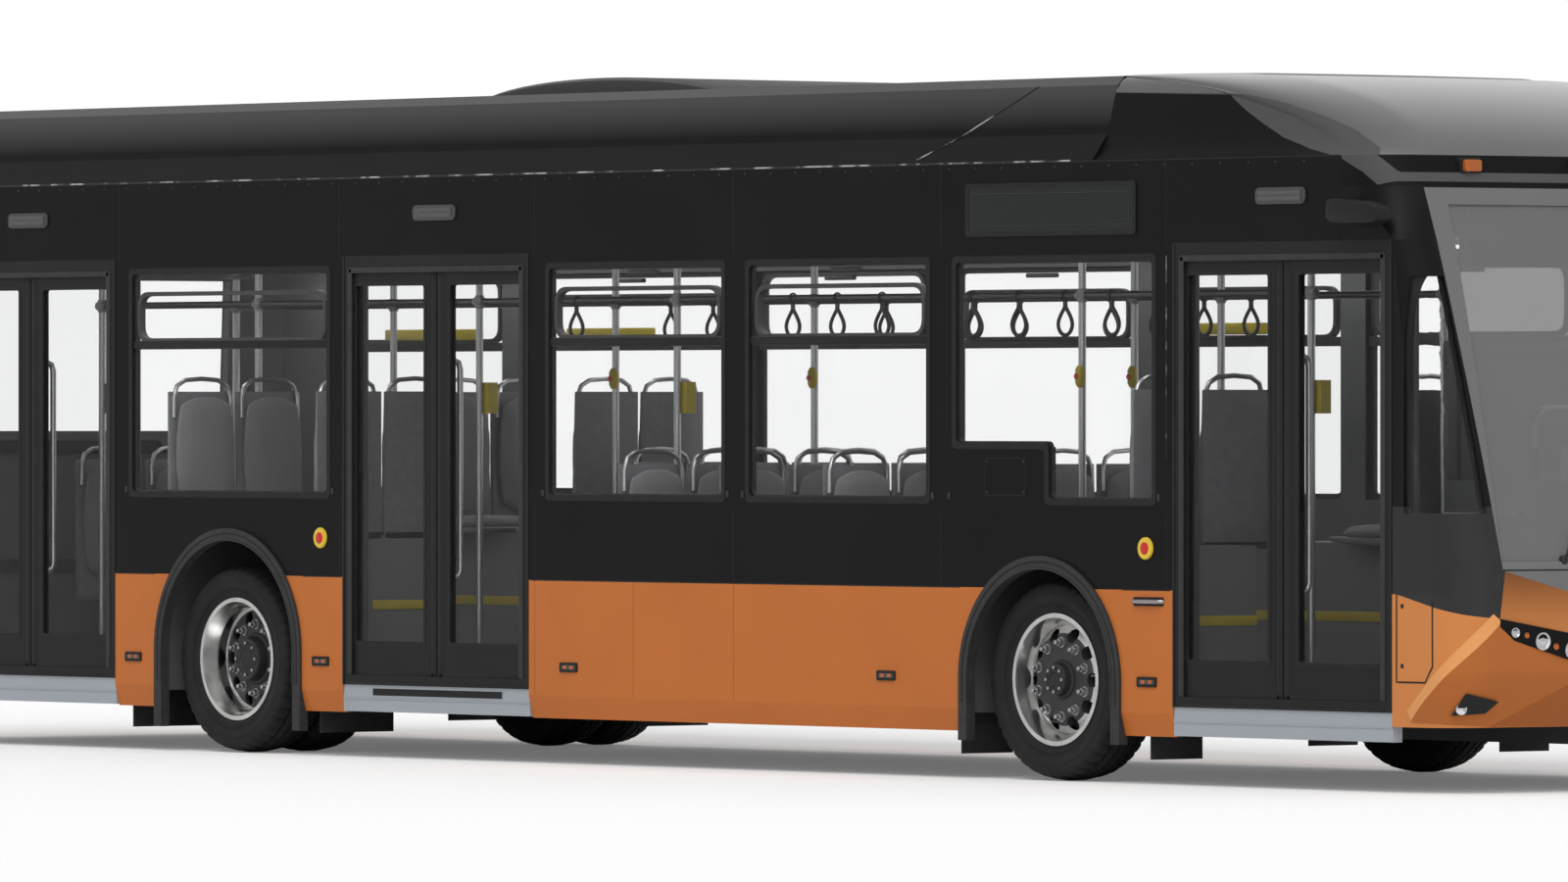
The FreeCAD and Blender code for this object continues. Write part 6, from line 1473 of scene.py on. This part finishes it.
def front_details():
    """Creases with painted highlight and painted shade on their slopes, lamp strips and fog lamp recesses on
    both sides, and the service flap by the door.
    """
    piece = Piece("front_details", "body", "trim", seal, copper_front, hub_dark, amber_dim, copper_shade,
                  reflector, black, copper_seam_and_shade, copper_highlight)
    skin_patch(piece, [(0.500, 0.603), (1.110, 0.603), (1.110, 0.752), (0.500, 0.752)], 0.0010, 1, 16)
    # Painted highlight: a lighter copper plate on the slope before the crease's ridge
    skin_patch(piece, [(0.098, 0.362), (0.130, 0.318), (0.585, 0.750), (0.548, 0.784)],
               lambda u, v: 0.0006 + (crease_height(v) - 0.0006) * u, 8, 18)
    # Painted shade: a darker copper plate on the face below the crease's ridge
    skin_patch(piece, [(0.130, 0.318), (0.500, 0.292), (1.050, 0.520), (0.585, 0.750)],
               lambda u, v: crease_height(v) + (0.001 - crease_height(v)) * u, 4, 22)
    # Painted shade: a darker copper plate on the low front face past the crease
    skin_patch(piece, [(0.500, 0.292), (1.420, 0.292), (1.420, 0.500), (1.050, 0.520)], 0.0014, 7, 20)
    skin_patch(piece, [(0.570, 0.690), (1.300, 0.478), (1.300, 0.636), (0.580, 0.762)], 0.0105, 6, 20)
    for reach, z, radius, finish in FRONT_LAMPS:
        profile = [(0.0, radius * 1.18), (0.004, radius * 1.14), (0.005, radius), (0.0015, radius * 0.8),
                   (0.002, radius * 0.45), (0.004, 0.0)]
        skin_lamp(piece, profile, reach, z, 0.0095, finish, 28)
    skin_patch(piece, [(0.330, 0.343), (0.470, 0.352), (0.545, 0.402), (0.405, 0.440)], 0.0250, 0, 12)
    skin_lamp(piece, [(0.0, 0.026), (0.004, 0.024), (0.002, 0.016), (0.003, 0.0)], 0.375, 0.372, 0.0240, 5, 20)
    piece.mirror()
    flap = [(0.03, 0.866), (0.03, 0.485), (0.215, 0.485), (0.262, 0.555), (0.262, 0.838)]
    skin_strip(piece, flap, 0.0075, 0.0016, 0)
    for z in (0.815, 0.555):
        piece.turned([(0.0, 0.011), (0.002, 0.010), (0.0025, 0.0)], skin_at(0.066, z), OUT, 2, 16)
    piece.place()


front_details()


# Wipers: arms, blades and their pivots on the windscreen; they stand for the CAD bars

def screen_x(y, z):
    """The windscreen's outer face ahead of a point."""
    back = 0.004 + (0.215 - 0.004) * max(0.0, min(1.0, (z - 0.968) / 0.832)) ** 1.15
    return NOSE - back - CROWN * (y / CROWN_Y) ** 2


def wipers():
    piece = Piece("wiper_arms", "body", "trim", seal, hub_dark)
    for start in (-0.72, 0.18):
        foot = Vector((0, start, 1.015))
        head = Vector((0, start + 0.336, 1.56))
        run = head - foot
        arm = []
        for step in range(9):
            at = foot + run * step / 8
            lift = 0.012 + 0.010 * math.sin(math.pi * step / 8)
            arm.append((screen_x(at.y, at.z) - 0.002 + lift * 0.4, at.y, at.z))
        piece.tube(arm, 0.006, 0, 8)
        piece.turned([(-0.020, 0.020), (0.004, 0.020), (0.007, 0.016), (0.007, 0.0)],
                     (screen_x(start, 1.015) - 0.002, start, 1.015), (1, 0, 0), 1, 20)
        blade = []
        for step in range(11):
            at = foot + run * (0.42 + 0.58 * step / 10)
            blade.append((screen_x(at.y, at.z) - 0.006, at.y + 0.012, at.z - 0.006))
        piece.tube(blade, 0.006, 0, 6)
    item = piece.place()
    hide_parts("wipers")


wipers()


# Inside: rail joints, readers, buttons, cab fittings, ceiling lights and yellow edges

POLES = {
    -1: (-5.147, -3.827, -2.033, -0.493, 1.40, 2.48, 4.064),
    1: (-5.147, -3.827, -2.033, -0.493, 1.865, 2.48, 4.014),
}


def pole_fittings(piece, side, index, x):
    """The joints of a pole at the floor, ceiling and rail, and a stop button on some."""
    y = side * HANDRAIL_Y
    for z, reach in ((FLOOR_Z, 1), (2.5, -1)):
        piece.turned([(0.0, 0.040), (reach * 0.005, 0.038), (reach * 0.008, 0.020), (reach * 0.03, 0.0195),
                      (reach * 0.03, 0.017)], (x, y, z), (0, 0, 1), 2, 20)
    for half, axis in ((0.032, (0, 0, 1)), (0.034, (1, 0, 0))):
        piece.turned([(-half, 0.0175), (0.002 - half, 0.0225), (half - 0.002, 0.0225), (half, 0.0175)],
                     (x, y, HANDRAIL_Z), axis, 2, 18)
    if index in ((5,) if side < 0 else (2, 3, 4)):
        piece.turned([(-0.052, 0.0), (-0.050, 0.014), (-0.030, 0.024), (0.030, 0.024), (0.050, 0.014),
                      (0.052, 0.0)], (x, y - 0.012, 1.82), (0, 0, 1), 0, 18)
        piece.turned([(0.0, 0.014), (0.005, 0.013), (0.007, 0.0)], (x, y - 0.035, 1.82), OUT, 3, 16)


def inside_fittings():
    piece = Piece("inside_fittings", "body", "yellow", yellow, seal, pale_plastic, red, strip_light)
    for side, places in POLES.items():
        for index, x in enumerate(places):
            pole_fittings(piece, side, index, x)
    for index in (0, 2, 3, 6):
        x = POLES[-1][index]
        y = HANDRAIL_RADIUS - HANDRAIL_Y
        piece.box((x - 0.036, y + 0.058, 1.70), (x + 0.036, y + 0.0625, 1.785), 1, 0.002)
        piece.box((x - 0.030, y + 0.058, 1.662), (x + 0.030, y + 0.0625, 1.690), 2, 0.002)
    for x_low, x_high in ((-3.534, -2.314), (2.584, 3.804)):
        for side in (-1, 1):
            low, high = span_y(side, 0.514, 0.520)
            piece.box((x_low, low, 0.700), (x_high, high, 0.745), 0, 0.002)
            low, high = span_y(side, 0.52, 0.86)
            piece.box((x_high, low, 0.700), (x_high + 0.006, high, 0.745), 0, 0.002)
    for side in (-1, 1):
        low, high = span_y(side, 0.93, 1.03)
        piece.box((-5.55, low, 2.405), (4.90, high, 2.4205), 4, 0.006)
    for x_low, x_high in ((-3.40, -2.70), (-4.90, -4.10), (1.42, 1.92)):
        piece.box((x_low, 1.176, 2.020), (x_high, 1.200, 2.076), 0, 0.008)
    piece.place()


inside_fittings()


def cab_fittings():
    piece = Piece("cab_fittings", "body", "cab", cab_grey, strap_black, display_face, pale_plastic, steel)
    hood = [(5.350, 1.080), (5.345, 1.140), (5.420, 1.215), (5.560, 1.225), (5.700, 1.120), (5.780, 1.080)]
    piece.prism(rounded(hood, 0.03, 3), "Y", 0.46, 1.06, 0, 0.012)
    piece.box((5.340, 0.56, 1.098), (5.352, 0.96, 1.190), 2, 0.004)
    piece.box((5.38, -0.10, 1.080), (5.52, 0.24, 1.100), 1, 0.006)
    piece.box((5.345, 0.40, 0.78), (5.352, 1.10, 1.04), 3, 0.004)
    for index in range(9):
        y = 0.50 + 0.06 * index
        piece.box((5.338, y, 0.985), (5.348, y + 0.035, 1.015), 1, 0.003)
    piece.tube([(4.86, 0.375, 1.35), (4.86, 0.375, 1.50)], 0.012, 4, 10)
    piece.ring(rounded(rect(0.42, 1.18, 1.22, 1.92), 0.05), rounded(rect(0.44, 1.16, 1.24, 1.90), 0.04), "X",
               4.072, 4.109, 1)
    piece.tube([(4.12, 0.350, 1.20), (4.12, 0.325, 1.20), (4.62, 0.325, 1.20), (4.62, 0.350, 1.20)],
               0.010, 4, 10)
    piece.place()


cab_fittings()


# Behind the windscreen: the plate round the header display, and the marker lamps over it

def header_fittings():
    piece = Piece("header_fittings", "body", "display", pale_plastic, strap_black, amber_dim, seal, round_lens)
    plate_low, plate_high = 5.440, 5.452
    piece.box((plate_low, -0.97, 2.590), (plate_high, 0.97, 2.612), 0, 0.002)
    piece.box((plate_low, -0.49, 2.292), (plate_high, 0.49, 2.318), 0, 0.002)
    for side in (-1, 1):
        for inner, outer, low_z in ((0.71, 0.745, 2.365), (0.745, 0.97, 2.436)):
            low, high = span_y(side, inner, outer)
            piece.box((plate_low, low, low_z), (plate_high, high, 2.590), 0, 0.002)
    for side in (-1, 1):
        for y, z in ((0.893, 2.560), (0.866, 2.472)):
            profile = [(0.0, 0.040), (0.008, 0.038), (0.010, 0.026), (0.006, 0.022), (0.006, 0.0)]
            piece.turned(profile, (5.451, side * y, z), (1, 0, 0), 1, 24)
            piece.turned([(0.0, 0.028), (0.010, 0.027), (0.014, 0.020), (0.015, 0.0)], (5.453, side * y, z),
                         (1, 0, 0), 4, 24)
        for y in (0.82, 0.20):
            face = 5.604 - CROWN * (y / CROWN_Y) ** 2
            lamp = rounded(rect(side * y - 0.048, side * y + 0.048, 2.705, 2.757), 0.012)
            piece.prism(lamp, "X", face - 0.06, face + 0.030, 2, 0.005)
            base = rounded(rect(side * y - 0.060, side * y + 0.060, 2.694, 2.766), 0.012)
            piece.prism(base, "X", face - 0.06, face + 0.010, 3, 0.003)
    piece.place()


header_fittings()


# Front dome and brow as one smooth skin, and the roof units with rounded edges

DOME_Z = (2.776, 2.900, 3.060, 3.160)
DOME_BACK = (0.528, 0.700, 1.120, 1.900)
DOME_Y = (1.275, 1.180, 1.140, 1.060)
DOME_CORNER = (0.330, 0.450, 0.650, 0.750)
DOME_ROWS = 36
DOME_MIDDLE_X = 4.0
SIDE_STEPS = 30
ROOF_SEAM_X = 3.55
WALL_END_X = 5.233


def through(values, share):
    """The value at a share of the way along an even curve through the given values."""
    total = 0.0
    last = len(values) - 1
    for index, value in enumerate(values):
        weight = 1.0
        for other in range(len(values)):
            if other != index:
                weight *= (share * last - other) / (index - other)
        total += weight * value
    return total


def plan_run(back, corner_back, side_y, crown_y, seam):
    """Plan points of the cap's outline from the door side's seam round the front to the other seam."""
    tip = NOSE - back
    run = tip - corner_back - seam
    points = [Vector((seam + run * step / SIDE_STEPS, -side_y)) for step in range(SIDE_STEPS + 1)]
    points += front_arcs(points[-1], crown_y, tip)
    right = points[:len(points) - ARC_STEPS // 2]
    return right + [Vector((point.x, -point.y)) for point in reversed(right[:-1])]


def shell_rows(rows):
    """Corners and faces of a closed cap from its outlines, each with a height."""
    corners = []
    wide = len(rows[0][1])
    for z, points in rows:
        corners += [(point.x, point.y, z) for point in points]
    faces = []
    for row in range(len(rows) - 1):
        for column in range(wide - 1):
            i = row * wide + column
            faces.append([i, i + 1, i + wide + 1, i + wide])
        i = row * wide
        faces.append([i, i + wide, i + 2 * wide - 1, i + wide - 1])
    for base in (0, (len(rows) - 1) * wide):
        for column in range(wide // 2):
            a, b = base + column, base + wide - 1 - column
            if b - a > 2:
                faces.append([a, a + 1, b - 1, b])
            elif b - a == 2:
                faces.append([a, a + 1, b])
    return corners, faces


def dome_piece():
    piece = Piece("front_dome_skin", "body", "roof_grey", dome_skin)
    brow = []
    for step in range(5):
        share = step / 4
        brow.append((2.640 + (RAIL_Z - 2.640) * share,
                     plan_run(0.468 + 0.060 * share, 0.330, HALF, CROWN_Y, WALL_END_X)))
    rows = []
    for step in range(DOME_ROWS + 1):
        share = step / DOME_ROWS
        z, back, y, corner = [through(values, share) for values in (DOME_Z, DOME_BACK, DOME_Y, DOME_CORNER)]
        rows.append((z, plan_run(back, corner, y, 0.8 * y, ROOF_SEAM_X)))
    z, last = rows[-1]
    for grow, lift in ((0.985, 0.003), (0.94, 0.006), (0.80, 0.008)):
        ring = [Vector((max(ROOF_SEAM_X, DOME_MIDDLE_X + (point.x - DOME_MIDDLE_X) * grow), point.y * grow))
                for point in last]
        rows.append((z + lift, ring))
    for group in (brow, rows):
        piece.faces(*shell_rows(group))
    item = piece.place(28.0)
    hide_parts("front_dome")


dome_piece()


UNITS = ((-5.56, -3.41, 3.12), (-3.26, -1.75, 3.12), (0.65, 2.80, 3.12))


def roof_piece():
    piece = Piece("roof_unit_cases", "body", "unit", unit_grey, rubber, hub_dark)
    for x_low, x_high, top in UNITS:
        piece.box((x_low, -0.86, 2.72), (x_high, 0.86, top), 0, 0.055)
        for share in (0.25, 0.5, 0.75):
            x = x_low + (x_high - x_low) * share
            piece.box((x - 0.006, -0.80, top - 0.002), (x + 0.006, 0.80, top + 0.003), 1, 0.002)
    hump = [(-1.60, 2.72), (0.50, 2.72), (0.50, 3.06)]
    hump += [(-0.55 + 1.05 * math.cos(turn), 3.06 + 0.18 * math.sin(turn) ** 0.8)
             for turn in (math.pi * step / 24 for step in range(1, 24))]
    hump.append((-1.60, 3.06))
    piece.prism(hump, "Y", -0.86, 0.86, 0, 0.05)
    for y in (-0.45, 0.45):
        piece.turned([(0.0, 0.30), (0.020, 0.295), (0.030, 0.27), (0.030, 0.24), (0.012, 0.235), (0.012, 0.0)],
                     (2.10, y, 3.118), (0, 0, 1), 2, 40)
        for step in range(4):
            turn = math.pi * step / 4
            reach = Vector((math.cos(turn), math.sin(turn), 0.0)) * 0.24
            at = Vector((2.10, y, 3.138))
            piece.tube([at - reach, at + reach], 0.004, 1, 6)
    item = piece.place()
    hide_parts("roof_units")


roof_piece()


# Rear: a bare plate in its rubber ring, two seals inside the tail, and the hatch's slots and handle

TAIL_X = -NOSE


def rear_details():
    piece = Piece("rear_details", "body", "trim", seal, pale_plastic)
    piece.box((TAIL_X, -0.27, 0.545), (TAIL_X + 0.03, 0.27, 0.675), 1, 0.004)
    piece.ring(rounded(rect(-0.285, 0.285, 0.530, 0.690), 0.012),
               rounded(rect(-0.265, 0.265, 0.550, 0.670), 0.01), "X", TAIL_X - 0.002, TAIL_X + 0.03, 0)
    piece.place()
    inner = Piece("rear_inner_seals", "body", "trim", seal)
    inner.box((-6.045, -0.72, 0.835), (-6.036, 0.72, 0.905), 0, 0.003)
    inner.box((-6.010, -0.72, 1.450), (-6.001, 0.72, 1.512), 0, 0.003)
    inner.place()
    lid = Piece("hatch_slots", "rear_hatch", "black_paint", seal, steel)
    shift = 0.06 * (0.62 / 1.08) ** 2
    for index in range(8):
        z = 1.30 - 0.045 * index
        skin = TAIL_X + REAR_LEAN * (z - BELT_Z) / (RAIL_Z - BELT_Z)
        for low, high in ((-0.60, -0.04), (0.04, 0.60)):
            lid.box((skin - 0.001, low, z - 0.008), (skin + shift + 0.004, high, z + 0.008), 0, 0.002)
    lid.box((TAIL_X + 0.001, -0.07, 0.935), (TAIL_X + 0.02, 0.07, 0.965), 1, 0.004)
    lid.place()


rear_details()


# Floor, backdrop and light

GROUND_PALE = (0.86, 0.86, 0.86)
GROUND_GLOW = 0.14
WORLD_LIGHT = 0.62


def ground_finish():
    """Pale ground that glows a little where the camera sees it."""
    made = Finish("ground_pale", GROUND_PALE, Roughness=0.9, Specular_IOR_Level=0.0)
    glow = made.new("ShaderNodeEmission", Strength=made.times(made.seen_directly(), GROUND_GLOW))
    both = made.new("ShaderNodeAddShader")
    made.put(made.shade.outputs["BSDF"], both.inputs[0])
    made.put(glow.outputs["Emission"], both.inputs[1])
    made.surface(both.outputs["Shader"])
    return made.material


def stage():
    mesh = bpy.data.meshes.new("ground")
    part = bmesh.new()
    bmesh.ops.create_grid(part, x_segments=1, y_segments=1, size=160.0)
    part.to_mesh(mesh)
    part.free()
    mesh.materials.append(ground_finish())
    ground = linked("ground", mesh)
    world = bpy.data.worlds.new("studio")
    world.use_nodes = True
    light = Nodes(world.node_tree)
    back = light.tree.nodes["Background"]
    light.put(WHITE, back.inputs["Color"])
    light.put(light.level(light.seen_directly(), WORLD_LIGHT, 1.0), back.inputs["Strength"])
    bpy.context.scene.world = world


def sun(name, strength, angle, direction):
    data = bpy.data.lights.new(name, "SUN")
    data.energy = strength
    data.angle = math.radians(angle)
    item = linked(name, data)
    item.rotation_euler = Vector(direction).to_track_quat("-Z", "Y").to_euler()


stage()
sun("key", 1.15, 40.0, (-0.35, 0.55, -0.80))
sun("fill", 0.55, 60.0, (-0.80, 0.25, -0.45))

bpy.context.scene.view_settings.view_transform = "Standard"
